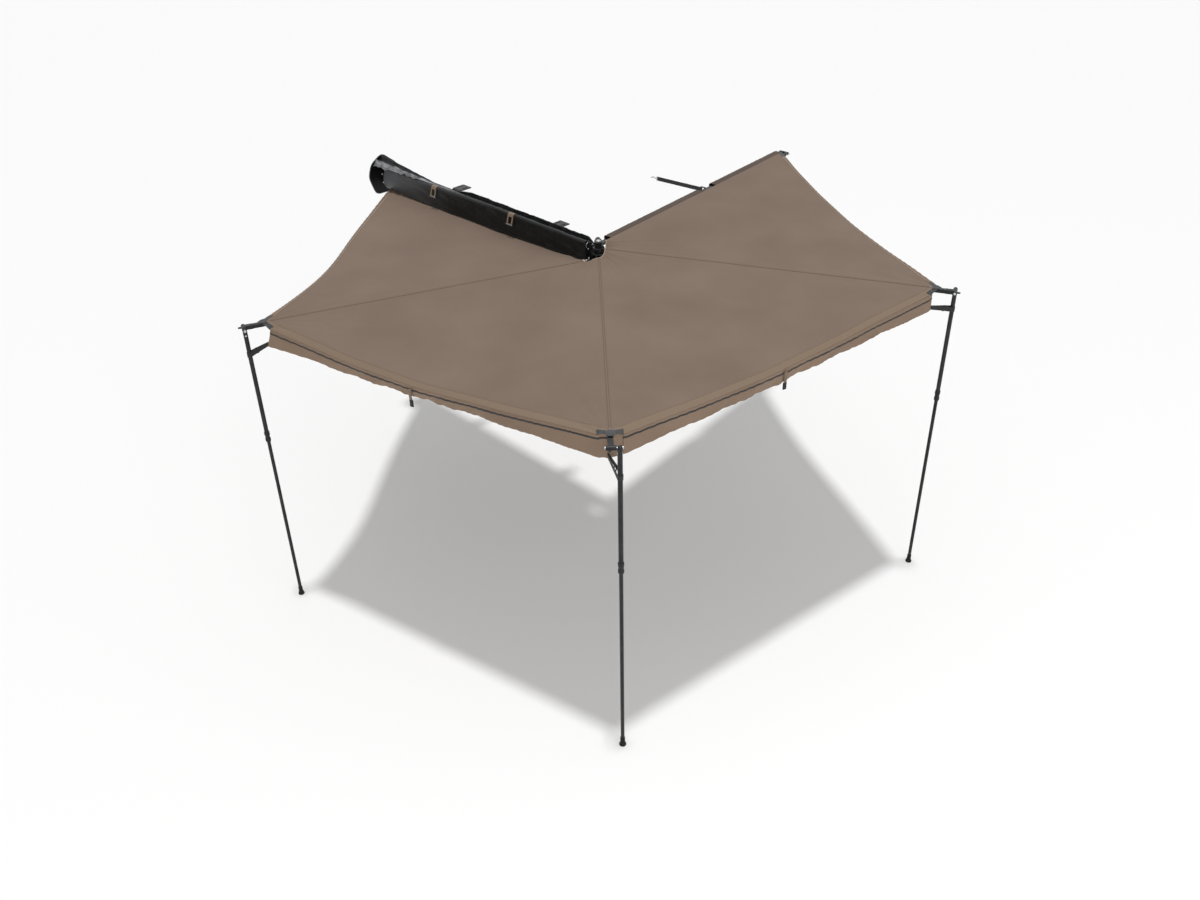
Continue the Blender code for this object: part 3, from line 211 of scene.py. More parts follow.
# Creases of the canopy: height, then length or number of folds, then how far each kind reaches
CANOPY_SEED, SKIRT_SEED = 40, 60
HOLLOWS = (0.0022, 0.55)
CORNER_FAN = (0.0030, 23, 0.30, 0.06)
HUB_GATHER = (0.0016, 34, 0.22)
HEM_PUCKER = (0.0012, 0.047, 0.030)
BAR_PLEAT = (0.0055, 0.042, 0.085, 0.55)
CREASE_FADE = 0.065

# Bag, in the hub's frame
COVER_PIVOT = np.array([-0.081, -0.00475])
COVER_TOP = 0.0665
COVER_FRONT = 0.057
COVER_CORNER = 0.012
COVER_SHEET = 0.0025
COVER_SPAN = (0.052, 1.930)
COVER_BELLY = 0.020
COVER_MAP_ROW = 100
BINDING_RADIUS = 0.0024
SLOPE_POINTS, CORNER_POINTS = 27, 12
COVER_CLEARANCE = 0.004
LIP_SAG = 0.012
LIP_RUN = (0.75, 0.60)
COVER_EDGE = (-0.052, -0.100)
COVER_OVER_CANOPY = 0.078
COVER_CENTRE = np.array([COVER_FRONT - COVER_CORNER, COVER_TOP - COVER_CORNER])
COVER_SLOPE = (math.atan2(*(COVER_CENTRE - COVER_PIVOT)[::-1])
               + math.asin((COVER_CORNER - COVER_SHEET / 2) / math.hypot(*(COVER_CENTRE - COVER_PIVOT))))
REAR_WALL_FOOT = ((-0.045, -0.015), (-0.010, -0.038))
WALL_THICK = 0.0018
WIRE_LINE = (2, 16, 44)
STUD_HEAD = ((0, 0.0034), (0.0030, 0.0031), (0.0050, 0.0018), (0.0056, 0), (0, 0))
REAR_STUDS = ((-0.004, 0.033), (0.029, 0.016), (0.027, -0.037))
# Painted reflection: where along x, from the hub, the cover's lighter grey front end starts and is full
SHEEN_FROM = (1.25, 1.97)
HOOD_SPAN = (1.480, 1.9933)
HOOD_WIDTH = 0.24
HOOD_SHEET = 0.0018
HOOD_SMOOTHINGS = 3
HOOD_CREASE = (24, 67)
HOOD_LINES = (0.0, 0.5, 0.58, 0.8, 1.0)
HOOD_FLAT = (-0.070, -0.050, -0.044, 0.018, 0.042)
HOOD_RISEN = ((0.028, 0.121), (0.041, 0.088), (0.077, 0.095), (0.103, 0.068))
BACK_RIM_X = (0.100, 1.470)
RIM_ROLL = 0.0034
BACK_RIM_Y = -0.0862
BACK_RIM_Z = (-0.012, 0.022)
END_PANEL_X = (1.9936, 1.9956)
END_PANEL_CORNERS = ((0.028, 0.131), (-0.088, 0.038), (-0.088, -0.132), (0.104, -0.132), (0.148, -0.008),
                     (0.118, 0.077))
END_PANEL_EASE = 0.035
END_PANEL_SIDES = 120
END_PANEL_INSET = 0.985
RIVET_HEAD = ((0, 0.0024), (0.0035, 0.0021), (0.0058, 0.0009), (0.0062, 0), (0, 0))
END_RIVETS = ((0.040, -0.007), (0.038, -0.063))
STRAP_X = {"rear": 0.670, "front": 1.405}
STRAP_WIDTH = 0.050
STRAP_LENGTH = 0.057
STRAP_LEAN = 17.0
STRAP_BORDER = 0.011
STRAP_HEAD = 0.012
STRAP_HEM = 0.006
WEBBING = 0.0018
BUCKLE_BAR = 0.0028

# Tie strap of the fourth rafter
TIE_RADIUS = 1.060
TIE_WINDOW = 0.140
TIE_PIN = 0.040
TIE_LENGTH = 0.330

# Making: how hard pieces are cleaned, and how far a corner may be eased along its shorter leg
MERGE_DISTANCE = 2e-6
FLAT_ANGLE = math.radians(0.6)
EASE_LIMIT = 0.45

# Cloth patterns: stitches, the drawn spacing of threads, and a wave texture's scale for one metre
STITCH_INSET = 0.0025
STITCH_WIDTH = 0.0018
STITCH_LENGTH = 0.006
THREAD_DRAWN = 0.004
WAVE_SCALE = 0.314

# Studio
FLOOR_HALF = 60.0
FLOOR_GLOW = 0.12
SKY_STRENGTH = 0.45
SUN_ENERGY, SUN_ANGLE = 1.9, 0.07
FILL_ENERGY, FILL_SIZE = 90, 4.0


# Points and faces

def smoother(t):
    """Step from 0 to 1 that is flat at both ends: 6t^5 - 15t^4 + 10t^3."""
    t = np.clip(t, 0.0, 1.0)
    return t ** 3 * (t * (6 * t - 15) + 10)


def waves(x, y, length, seed, count=7):
    """Smooth random hills about 1 high: the sum of plane waves of like length in random directions,
    divided by the root of their number."""
    draw = np.random.default_rng(seed)
    total = 0
    for heading, phase, stretch in zip(draw.uniform(0, 2 * math.pi, count), draw.uniform(0, 6.3, count),
                                       draw.uniform(0.7, 1.5, count)):
        run = (x * math.cos(heading) + y * math.sin(heading)) * stretch
        total = total + np.sin(2 * math.pi * run / length + phase)
    return total / math.sqrt(count)


def joined(*parts):
    """Points from their coordinates, each spread over the shape that they share."""
    return np.stack(np.broadcast_arrays(*parts), axis=-1)


def arc(centre, radius, start, stop, steps):
    """Points on a circle from one angle to another, in degrees."""
    angle = np.radians(np.linspace(start, stop, steps))
    return joined(centre[0] + radius * np.cos(angle), centre[1] + radius * np.sin(angle))


def ring(radius, sides=8):
    """Round section of a cord."""
    return arc((0, 0), radius, 0, 360 - 360 / sides, sides)


def rounded_rectangle(width, height, corner, steps=6):
    """Counter-clockwise outline about the origin, each corner a quarter circle."""
    x, y = width / 2 - corner, height / 2 - corner
    turns = ((x, y, 0), (-x, y, 90), (-x, -y, 180), (x, -y, 270))
    return np.concatenate([arc((cx, cy), corner, at, at + 90, steps) for cx, cy, at in turns])


def travelled(line):
    """Length run along a line up to each of its points."""
    return np.concatenate([[0], np.cumsum(np.linalg.norm(np.diff(line, axis=0), axis=1))])


def resampled(line, count, closed=False):
    """Points spaced evenly by length along a line."""
    line = np.concatenate([line, line[:1]]) if closed else line
    length = travelled(line)
    at = np.linspace(0, length[-1], count, endpoint=not closed)
    return np.stack([np.interp(at, length, line[:, k]) for k in range(line.shape[1])], axis=-1)


def grid_faces(rows, columns, round_rows=False, round_columns=False):
    """Quads over a grid of points; a round direction joins its last line to its first."""
    index = np.arange(rows * columns).reshape(rows, columns)
    index = np.concatenate([index, index[:1]]) if round_rows else index
    index = np.concatenate([index, index[:, :1]], axis=1) if round_columns else index
    return np.stack([index[:-1, :-1], index[1:, :-1], index[1:, 1:], index[:-1, 1:]], axis=-1).reshape(-1, 4)


def normals(grid):
    """Unit normals of a grid of points: the cross product of its steps down and across."""
    normal = np.cross(np.gradient(grid, axis=0), np.gradient(grid, axis=1))
    return normal / np.linalg.norm(normal, axis=-1, keepdims=True)


def sheet_form(outer, inner, round_columns=False, solid=None):
    """Closed sheet: an outer grid, an inner one turned inwards, and a wall along every edge that has
    cloth on one side only. Solid says which quads are there, and so leaves openings."""
    rows, columns = outer.shape[:2]
    count = rows * columns
    faces = grid_faces(rows, columns, round_columns=round_columns)
    if solid is not None:
        faces = faces[solid.ravel()]
    edges = np.stack([faces, np.roll(faces, -1, axis=1)], axis=-1).reshape(-1, 2)
    lone = edges[~np.isin(edges[:, 0] * count + edges[:, 1], edges[:, 1] * count + edges[:, 0])]
    walls = np.stack([lone[:, 1], lone[:, 0], lone[:, 0] + count, lone[:, 1] + count], axis=-1)
    points = np.concatenate([outer.reshape(-1, 3), inner.reshape(-1, 3)])
    return points, np.concatenate([faces, faces[:, ::-1] + count, walls]).tolist()


def swept_form(path, section, up=(0, 0, 1), closed=False):
    """Section carried along a path: its first number goes to the path's right, its second up."""
    path = np.asarray(path, float)
    ahead = np.roll(path, -1, axis=0) - np.roll(path, 1, axis=0) if closed else np.gradient(path, axis=0)
    side = np.cross(ahead, up)
    side /= np.linalg.norm(side, axis=1, keepdims=True)
    lift = np.cross(side, ahead)
    lift /= np.linalg.norm(lift, axis=1, keepdims=True)
    points = path[:, None] + section[None, :, :1] * side[:, None] + section[None, :, 1:] * lift[:, None]
    rows, columns = points.shape[:2]
    faces = grid_faces(rows, columns, closed, True).tolist()
    if not closed:
        last = (rows - 1) * columns
        faces += [list(range(columns)), list(range(last + columns - 1, last - 1, -1))]
    return points.reshape(-1, 3), faces


def turned_form(profile, sides=40, swell=None):
    """Profile of (radius, height) turned about Z, down its outer side. A profile from axis to axis
    gets a pole at each end, and any other closes on itself. Swell gives the radius a factor from
    the turn and the height."""
    profile = np.asarray(profile, float)
    solid = profile[0, 0] == 0
    inner = profile[1:-1] if solid else profile
    turn = np.arange(sides) * 2 * math.pi / sides
    radius = inner[:, :1] * (1 if swell is None else swell(turn[None], inner[:, 1:]))
    points = joined(radius * np.cos(turn), radius * np.sin(turn), inner[:, 1:]).reshape(-1, 3)
    faces = grid_faces(len(inner), sides, not solid, True).tolist()
    if solid:
        here = np.arange(sides)
        first, last, low = len(points), len(points) + 1, (len(inner) - 1) * sides
        points = np.concatenate([points, [(0, 0, profile[0, 1]), (0, 0, profile[-1, 1])]])
        faces += [[first, int(j), int(k)] for j, k in zip(here, np.roll(here, -1))]
        faces += [[last, low + int(k), low + int(j)] for j, k in zip(here, np.roll(here, -1))]
    return points, faces


def eased(profile, radius, steps=3):
    """Profile with each inner corner cut by a small arc: points slide along both legs of the corner
    by the radius and meet on a quadratic curve."""
    profile = np.asarray(profile, float)
    points = [profile[0]]
    for before, at, after in zip(profile[:-2], profile[1:-1], profile[2:]):
        back, on = before - at, after - at
        back_length, on_length = np.linalg.norm(back), np.linalg.norm(on)
        reach = min(radius, EASE_LIMIT * min(back_length, on_length))
        start, stop = at + back / back_length * reach, at + on / on_length * reach
        for t in np.linspace(0, 1, steps):
            points.append((1 - t) ** 2 * start + 2 * t * (1 - t) * at + t ** 2 * stop)
    return np.array(points + [profile[-1]])


# Places

def in_rafter(name, points):
    """Points given in a rafter's frame, moved to the part's frame: turned by its angle, raised to
    its level and shifted to the pin."""
    points = np.asarray(points, float)
    c, s = math.cos(ANGLE[name]), math.sin(ANGLE[name])
    x, y, z = points[..., 0], points[..., 1], points[..., 2]
    return joined(c * x - s * y, s * x + c * y, z + LEVEL[name]) + HUB


def on_leg(name, points):
    """Points about a leg's own axis, moved to the part's frame: turned about the leg's pivot by its
    fold, set beside the rafter and out at its tip."""
    points = np.asarray(points, float)
    c, s = math.cos(LEG_TURN[name]), math.sin(LEG_TURN[name])
    x, y, z = points[..., 0], points[..., 1], points[..., 2]
    turned = joined(c * x + s * z + REACH[name], y + LEG_OFFSET[name], c * z - s * x)
    return in_rafter(name, turned)


# Materials

def linear(code):
    """Linear colour of an sRGB hex value."""
    part = np.array([int(code[i:i + 2], 16) for i in (1, 3, 5)]) / 255
    return (*np.where(part <= 0.04045, part / 12.92, ((part + 0.055) / 1.055) ** 2.4).tolist(), 1.0)


def add(tree, kind, inputs=(), **settings):
    """Adds a shader node with its settings; an input is a value or another node's output."""
    node = tree.nodes.new("ShaderNode" + kind)
    for key, value in settings.items():
        setattr(node, key, value)
    for key, value in dict(inputs).items():
        if isinstance(value, bpy.types.NodeSocket):
            tree.links.new(value, node.inputs[key])
        else:
            node.inputs[key].default_value = value
    return node


def started(name, roughness, metallic=0.0, **sockets):
    """New material with a Principled shader: the material, its tree and the shader."""
    material = bpy.data.materials.new(name)
    material.use_nodes = True
    shader = material.node_tree.nodes["Principled BSDF"]
    shader.inputs["Roughness"].default_value = roughness
    shader.inputs["Metallic"].default_value = metallic
    for key, value in sockets.items():
        shader.inputs[key.replace("_", " ")].default_value = value
    return material, material.node_tree, shader


def toned(tree, shader, share, first, second):
    """Base colour between two hex values by a share."""
    mix = add(tree, "Mix", {0: share}, data_type="RGBA")
    mix.inputs[6].default_value = linear(first)
    mix.inputs[7].default_value = linear(second)
    tree.links.new(mix.outputs[2], shader.inputs["Base Color"])


def highlighted(tree, shader, share, code):
    """Base colour overlaid with the colour of a painted highlight by a share."""
    clean = shader.inputs["Base Color"].links[0].from_socket
    mix = add(tree, "Mix", {0: share, 6: clean, 7: linear(code)}, data_type="RGBA")
    tree.links.new(mix.outputs[2], shader.inputs["Base Color"])


def spread_out(tree, value, low, high, to_low=0.0, to_high=1.0):
    """A value's range stretched on to another range."""
    return add(tree, "MapRange", {0: value, 1: low, 2: high, 3: to_low, 4: to_high}).outputs[0]


def roughened(tree, shader, value, low, high):
    """Roughness between two numbers by a value of about 0.3 to 0.7."""
    tree.links.new(spread_out(tree, value, 0.3, 0.7, low, high), shader.inputs["Roughness"])


def bumped(tree, shader, *heights):
    """Bump from several (height, distance in metres) pairs, one on the other."""
    last = None
    for height, distance in heights:
        inputs = {"Height": height, "Distance": distance, "Strength": 1.0}
        if last is not None:
            inputs["Normal"] = last
        last = add(tree, "Bump", inputs).outputs[0]
    tree.links.new(last, shader.inputs["Normal"])


def noise(tree, where, size, detail=2.0, roughness=0.5):
    """Noise whose lumps are about a size in metres."""
    return add(tree, "TexNoise", {"Vector": where, "Scale": 1 / size, "Detail": detail,
                                  "Roughness": roughness}).outputs[0]


def threads(tree, where, spacing):
    """Plain weave: ribs along both directions of a map in metres, multiplied."""
    settings = {"Vector": where, "Scale": WAVE_SCALE / spacing, "Distortion": 0.4}
    ribs = [add(tree, "TexWave", settings, wave_type="BANDS", bands_direction=way).outputs[1] for way in "XY"]
    return add(tree, "Math", {0: ribs[0], 1: ribs[1]}, operation="MULTIPLY").outputs[0]


def canopy_cloth(name, face, shade, grain):
    """Polyester and cotton canvas, plain woven and coated: matt, with faint blotches where it was
    rolled, a fine grain and the ghost of its creases. Threads lie 0.5 mm apart and are drawn at
    4 mm so that the grain shows."""
    material, tree, shader = started(name, 0.86, Specular_IOR_Level=0.3)
    cloth = add(tree, "UVMap", uv_map="UVMap").outputs[0]
    place = add(tree, "TexCoord").outputs["Object"]
    blotch = noise(tree, place, 0.45, 3.0)
    speck = noise(tree, cloth, grain, 3.0, 0.7)
    both = add(tree, "Math", {0: blotch, 1: speck}, operation="ADD").outputs[0]
    toned(tree, shader, spread_out(tree, both, 0.62, 1.38), shade, face)
    roughened(tree, shader, speck, 0.74, 0.90)
    crease = add(tree, "TexNoise", {"Vector": place, "Scale": 9.0, "Detail": 4.0, "Distortion": 1.2},
                 noise_type="RIDGED_MULTIFRACTAL").outputs[0]
    bumped(tree, shader, (crease, 0.0006), (threads(tree, cloth, THREAD_DRAWN), 0.00015))
    return material


def banded_cloth(name, face, shade, width):
    """The canopy's canvas folded double and sewn with two rows of stitches: the map's first number
    runs across the band, and each stitch is 6 mm long."""
    material, tree, shader = started(name, 0.86, Specular_IOR_Level=0.3)
    cloth = add(tree, "UVMap", uv_map="UVMap").outputs[0]
    split = add(tree, "SeparateXYZ", {0: cloth})
    near = []
    for edge in (STITCH_INSET, width - STITCH_INSET):
        off = add(tree, "Math", {0: split.outputs[0], 1: edge}, operation="SUBTRACT").outputs[0]
        near.append(add(tree, "Math", {0: off}, operation="ABSOLUTE").outputs[0])
    nearest = add(tree, "Math", {0: near[0], 1: near[1]}, operation="MINIMUM").outputs[0]
    rows = spread_out(tree, nearest, 0.0, STITCH_WIDTH, 1.0, 0.0)
    turns = {0: split.outputs[1], 1: 2 * math.pi / STITCH_LENGTH}
    step = add(tree, "Math", turns, operation="MULTIPLY").outputs[0]
    dash = add(tree, "Math", {0: step}, operation="SINE").outputs[0]
    sewn = {0: rows, 1: spread_out(tree, dash, -0.4, 0.4)}
    stitch = add(tree, "Math", sewn, operation="MULTIPLY").outputs[0]
    speck = noise(tree, cloth, 0.006, 3.0, 0.7)
    sunk = add(tree, "Math", {0: speck, 1: rows}, operation="SUBTRACT").outputs[0]
    toned(tree, shader, spread_out(tree, sunk, -0.4, 0.7), shade, face)
    bumped(tree, shader, (rows, -0.0006), (stitch, 0.0005), (threads(tree, cloth, THREAD_DRAWN), 0.00015))
    return material


def webbing(name, face, shade, pitch=0.003):
    """Woven polypropylene strap: ribs across its length, 1.5 mm apart and drawn at 3 mm, a dull
    sheen, and painted shade that darkens the hollows between the ribs."""
    material, tree, shader = started(name, 0.72, Sheen_Weight=0.25, Sheen_Roughness=0.4)
    cloth = add(tree, "UVMap", uv_map="UVMap").outputs[0]
    settings = {"Vector": cloth, "Scale": WAVE_SCALE / pitch, "Distortion": 1.0, "Detail": 1.0}
    rib = add(tree, "TexWave", settings, wave_type="BANDS", bands_direction="Y").outputs[1]
    # Painted shade: the hollows between the ribs are darker
    toned(tree, shader, rib, shade, face)
    bumped(tree, shader, (rib, 0.0005))
    return material


def vinyl(name, face, shade, front_sheen=None, crest_highlight=None):
    """PVC coated polyester, calendered: semi-matt, nearly black, with a pebbled grain drawn at
    5 mm and soft rumples, their raised tops painted a little lighter as a painted highlight. The
    first optional colour is the lighter grey painted on its front end as a painted reflection, and
    the second the pale grey painted along the hood's wrinkled edge as a painted highlight."""
    material, tree, shader = started(name, 0.44, Specular_IOR_Level=0.18)
    place = add(tree, "TexCoord").outputs["Object"]
    pebble = add(tree, "TexVoronoi", {"Vector": place, "Scale": 1 / 0.005}).outputs[0]
    rumple = noise(tree, place, 0.045, 3.0)
    # Painted highlight: the colour follows the rumples, their raised tops a little lighter
    toned(tree, shader, spread_out(tree, rumple, 0.35, 0.7), shade, face)
    # Painted reflection: the cover is painted lighter grey towards its front end
    if front_sheen is not None:
        forward = add(tree, "SeparateXYZ", {0: place}).outputs[0]
        highlighted(tree, shader, spread_out(tree, forward, SHEEN_FROM[0] + HUB[0], SHEEN_FROM[1] + HUB[0]), front_sheen)
    # Painted highlight: a pale band across the hood near its free edge, broken up by the rumples
    if crest_highlight is not None:
        cloth = add(tree, "UVMap", uv_map="UVMap").outputs[0]
        across = add(tree, "SeparateXYZ", {0: cloth}).outputs[0]
        climb = spread_out(tree, across, HOOD_WIDTH * 0.62, HOOD_WIDTH * 0.78)
        fall = spread_out(tree, across, HOOD_WIDTH * 0.82, HOOD_WIDTH * 0.94, 1.0, 0.45)
        band = add(tree, "Math", {0: climb, 1: fall}, operation="MULTIPLY").outputs[0]
        uneven = spread_out(tree, rumple, 0.35, 0.65, 0.35, 1.0)
        share = add(tree, "Math", {0: band, 1: uneven}, operation="MULTIPLY").outputs[0]
        highlighted(tree, shader, share, crest_highlight)
    roughened(tree, shader, rumple, 0.38, 0.50)
    bumped(tree, shader, (rumple, 0.0016), (pebble, 0.00015))
    return material


def coated(name, face, shade, roughness):
    """Powder coat, baked: even and satin, with orange peel 1.5 mm across drawn at 4 mm."""
    material, tree, shader = started(name, roughness, Specular_IOR_Level=0.3)
    place = add(tree, "TexCoord").outputs["Object"]
    peel = noise(tree, place, 0.004, 1.0)
    scuff = noise(tree, place, 0.060, 4.0, 0.7)
    toned(tree, shader, spread_out(tree, scuff, 0.45, 0.75), face, shade)
    roughened(tree, shader, scuff, roughness - 0.06, roughness + 0.08)
    bumped(tree, shader, (peel, 0.0002))
    return material


def moulded(name, face, shade, roughness):
    """Moulded polymer with a fine spark-eroded grain, drawn at 2.5 mm, and rubbed edges."""
    material, tree, shader = started(name, roughness, Specular_IOR_Level=0.3)
    place = add(tree, "TexCoord").outputs["Object"]
    grain = noise(tree, place, 0.0025, 2.0)
    rub = noise(tree, place, 0.030, 3.0)
    toned(tree, shader, spread_out(tree, rub, 0.4, 0.75), face, shade)
    roughened(tree, shader, grain, roughness - 0.05, roughness + 0.08)
    bumped(tree, shader, (grain, 0.00025))
    return material


def drawn_tube(name, face, shade, roughness):
    """Drawn aluminium tube, anodised: metal with fine die lines along its length, which the map's
    second number follows, and slight handling marks."""
    material, tree, shader = started(name, roughness, 0.85)
    length = add(tree, "UVMap", uv_map="UVMap").outputs[0]
    lines = add(tree, "Mapping", {0: length, 3: (1400.0, 6.0, 1.0)}).outputs[0]
    streak = noise(tree, lines, 1.0, 2.0)
    place = add(tree, "TexCoord").outputs["Object"]
    mark = noise(tree, place, 0.080, 4.0, 0.65)
    toned(tree, shader, spread_out(tree, mark, 0.35, 0.7), face, shade)
    roughened(tree, shader, streak, roughness - 0.08, roughness + 0.10)
    bumped(tree, shader, (streak, 0.00005))
    return material


def plated(name, face, shade):
    """Zinc-plated steel: bright metal with a clouded passivation and fine tool marks."""
    material, tree, shader = started(name, 0.30, 1.0)
    place = add(tree, "TexCoord").outputs["Object"]
    cloud = noise(tree, place, 0.006, 3.0)
    toned(tree, shader, spread_out(tree, cloud, 0.3, 0.7), shade, face)
    roughened(tree, shader, cloud, 0.22, 0.40)
    bumped(tree, shader, (cloud, 0.0001))
    return material


FINISH = {
    "canvas": canopy_cloth("taupe_canvas", "#7e6d60", "#6c5c50", 0.006),
    # Painted light: the skirt is the canopy's own canvas, painted lighter to stand for the light on its upright
    # face
    "valance": canopy_cloth("taupe_canvas_skirt", "#97816e", "#806c5b", 0.006),
    "mesh_cloth": canopy_cloth("brown_mesh_sleeve", "#64564d", "#40352f", 0.009),
    "hem": banded_cloth("sewn_canvas_hem", "#827164", "#655649", 0.018),
    "wide_hem": banded_cloth("sewn_canvas_band", "#847261", "#67584b", 0.042),
    "seam": banded_cloth("sewn_canvas_seam", "#7b6a5d", "#5b4d42", 0.014),
    "trim": banded_cloth("sewn_canvas_trim", "#b3a08c", "#8d7b6b", 0.010),
    "patch": webbing("charcoal_reinforcement", "#3d3f41", "#252729", 0.004),
    "webbing": webbing("black_webbing", "#212123", "#0c0c0d"),
    "taupe_webbing": webbing("taupe_webbing", "#8f7a63", "#5d4e40"),
    # Painted reflection: the last colour is the lighter grey painted on the cover's front end
    "pvc": vinyl("black_pvc", "#1c1d1e", "#121314", "#5b5c5e"),
    "liner": vinyl("black_pvc_liner", "#151516", "#0d0d0e"),
    # Painted light: the back rim is the bag's black PVC painted a lighter grey to stand for the light it catches
    "rim": vinyl("charcoal_pvc", "#4a4b4d", "#2b2c2d"),
    # Painted light: the hood is the bag's black PVC painted a lighter grey, with a pale painted highlight along
    # its wrinkled edge
    "hood": vinyl("dusty_pvc_hood", "#323335", "#1d1e1f", crest_highlight="#a2a4a7"),
    # Painted highlight: this pale grey on the hood's edge and crease cords stands for the light caught along its
    # wrinkled edge; the end panel's piping has the same pale grey
    "binding": vinyl("grey_pvc_binding", "#97999b", "#5b5d5f"),
    "powder_coat": coated("black_powder_coat_steel", "#17181a", "#27282a", 0.38),
    "coated_alloy": coated("black_powder_coat_aluminium", "#111213", "#1e1f20", 0.24),
    "nylon": moulded("black_glass_nylon", "#151617", "#252628", 0.42),
    "rubber": moulded("black_rubber", "#151515", "#262626", 0.75),
    "anodised": drawn_tube("grey_anodised_tube", "#2b2c2d", "#3a3b3c", 0.34),
    "buckle": coated("grey_coated_steel", "#6c6d70", "#8a8b8e", 0.35),
    "steel": plated("zinc_plated_steel", "#d3d5d8", "#a4a6a9"),
}


# Pieces

def placed(name, data):
    """Object of a mesh, lamp or camera, put into the scene."""
    piece = bpy.data.objects.new(name, data)
    bpy.context.scene.collection.objects.link(piece)
    return piece


def made(name, form, finish, body=None, uv=None, crease=40, replaces=()):
    """Named piece of a form, with its finish, its map in metres and the body it rides on."""
    points, faces = form
    mesh = bpy.data.meshes.new(name)
    mesh.from_pydata(np.asarray(points).reshape(-1, 3).tolist(), [], faces)
    mesh.shade_smooth()
    mesh.set_sharp_from_angle(angle=math.radians(crease))
    if uv is not None:
        corner = np.zeros(len(mesh.loops), np.int32)
        mesh.loops.foreach_get("vertex_index", corner)
        flat = np.asarray(uv, np.float32).reshape(-1, 2)
        flat = np.concatenate([flat] * -(-len(mesh.vertices) // len(flat)))[:len(mesh.vertices)]
        mesh.uv_layers.new(name="UVMap").data.foreach_set("uv", flat[corner].ravel())
    mesh.materials.append(FINISH[finish])
    piece = placed(name, mesh)
    if body is not None:
        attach(piece, body)
    if replaces:
        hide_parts(*replaces)
    return piece


def folding(piece, share):
    """Piece of a canopy panel with its placement baked into its points. Each point's share of the way
    from the panel's first rafter to its second is repeated over its points, and nothing uses it."""
    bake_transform(piece)
    weight = np.asarray(share, np.float32).ravel()
    weight = np.concatenate([weight] * (len(piece.data.vertices) // len(weight)))
    return piece


def cord(name, line, radius, finish, body="cover", sides=8, up=(0, 0, 1), closed=False):
    """Round cord along a line in the hub's frame."""
    return made(name, swept_form(line + HUB, ring(radius, sides), up, closed), finish, body=body)


def sewn_cord(name, path, section, u, finish, uv=None, up=(0, 0, 1)):
    """Cord, tape or clip along a path on a panel, with its places u on the panel."""
    if uv is not None:
        uv = np.repeat(uv, len(section), axis=0)
    piece = made(name, swept_form(path, section, up=up), finish, uv=uv)
    return folding(piece, np.repeat(u, len(section)))


def heads(name, profile, x, places, body):
    """Heads of studs or rivets that face rearwards, at places in y and z."""
    head, faces = turned_form(profile, 24)
    for number, (y, z) in enumerate(places, 1):
        points = joined(x - head[:, 2], y + head[:, 1], z + head[:, 0])
        made("%s_%d" % (name, number), (points + HUB, faces), "steel", body=body)


def refined(node, finish, edge=0.0006, crease=35):
    """Hard piece with its edges broken: the node's own triangles merged into faces, and a bevel a
    few tenths of a millimetre wide along every sharp edge."""
    mesh = frame["nodes"][node].data.copy()
    mesh.name = node + "_finished"
    work = bmesh.new()
    work.from_mesh(mesh)
    bmesh.ops.remove_doubles(work, verts=work.verts, dist=MERGE_DISTANCE)
    bmesh.ops.dissolve_limit(work, angle_limit=FLAT_ANGLE, verts=work.verts, edges=work.edges)
    work.to_mesh(mesh)
    work.free()
    if "custom_normal" in mesh.attributes:
        mesh.attributes.remove(mesh.attributes["custom_normal"])
    mesh.materials.clear()
    mesh.materials.append(FINISH[finish])
    mesh.shade_smooth()
    mesh.set_sharp_from_angle(angle=math.radians(crease))
    piece = placed(mesh.name, mesh)
    bevel = piece.modifiers.new("edge", "BEVEL")
    bevel.limit_method = "ANGLE"
    bevel.angle_limit = math.radians(crease)
    bevel.width = edge
    bevel.segments = 2
    bevel.use_clamp_overlap = True
    bevel.harden_normals = True
    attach(piece, BODY_OF[node])
    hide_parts(node)
    return piece


# Canopy

def edge_line(index, side, s):
    """Azimuth, radius and height of a panel's edge: along the bar for index 0, else along a
    rafter, at a distance beside its axis. s runs out from the hub."""
    if index == 0:
        x = BAR_EDGE[0] + s * (BAR_EDGE[1] - BAR_EDGE[0])
        return np.arctan2(BAR_LINE, x), np.hypot(x, BAR_LINE), BAR_EDGE_HEIGHT + 0 * s
    name = RAFTERS[index - 1]
    radius = HUB_OPENING[name] + s * (CORNER_RADIUS[name] - HUB_OPENING[name])
    return ANGLE[name] + np.arcsin(side / radius), radius, CANOPY_HEIGHT[name] + 0 * s


def corner_points(index):
    """Outer corners of a panel in the hub's frame."""
    found = []
    for k in (index, index + 1):
        angle, radius, _ = edge_line(k, 0.0, np.float64(1.0))
        found.append(np.array([radius * np.cos(angle), radius * np.sin(angle)]))
    return found


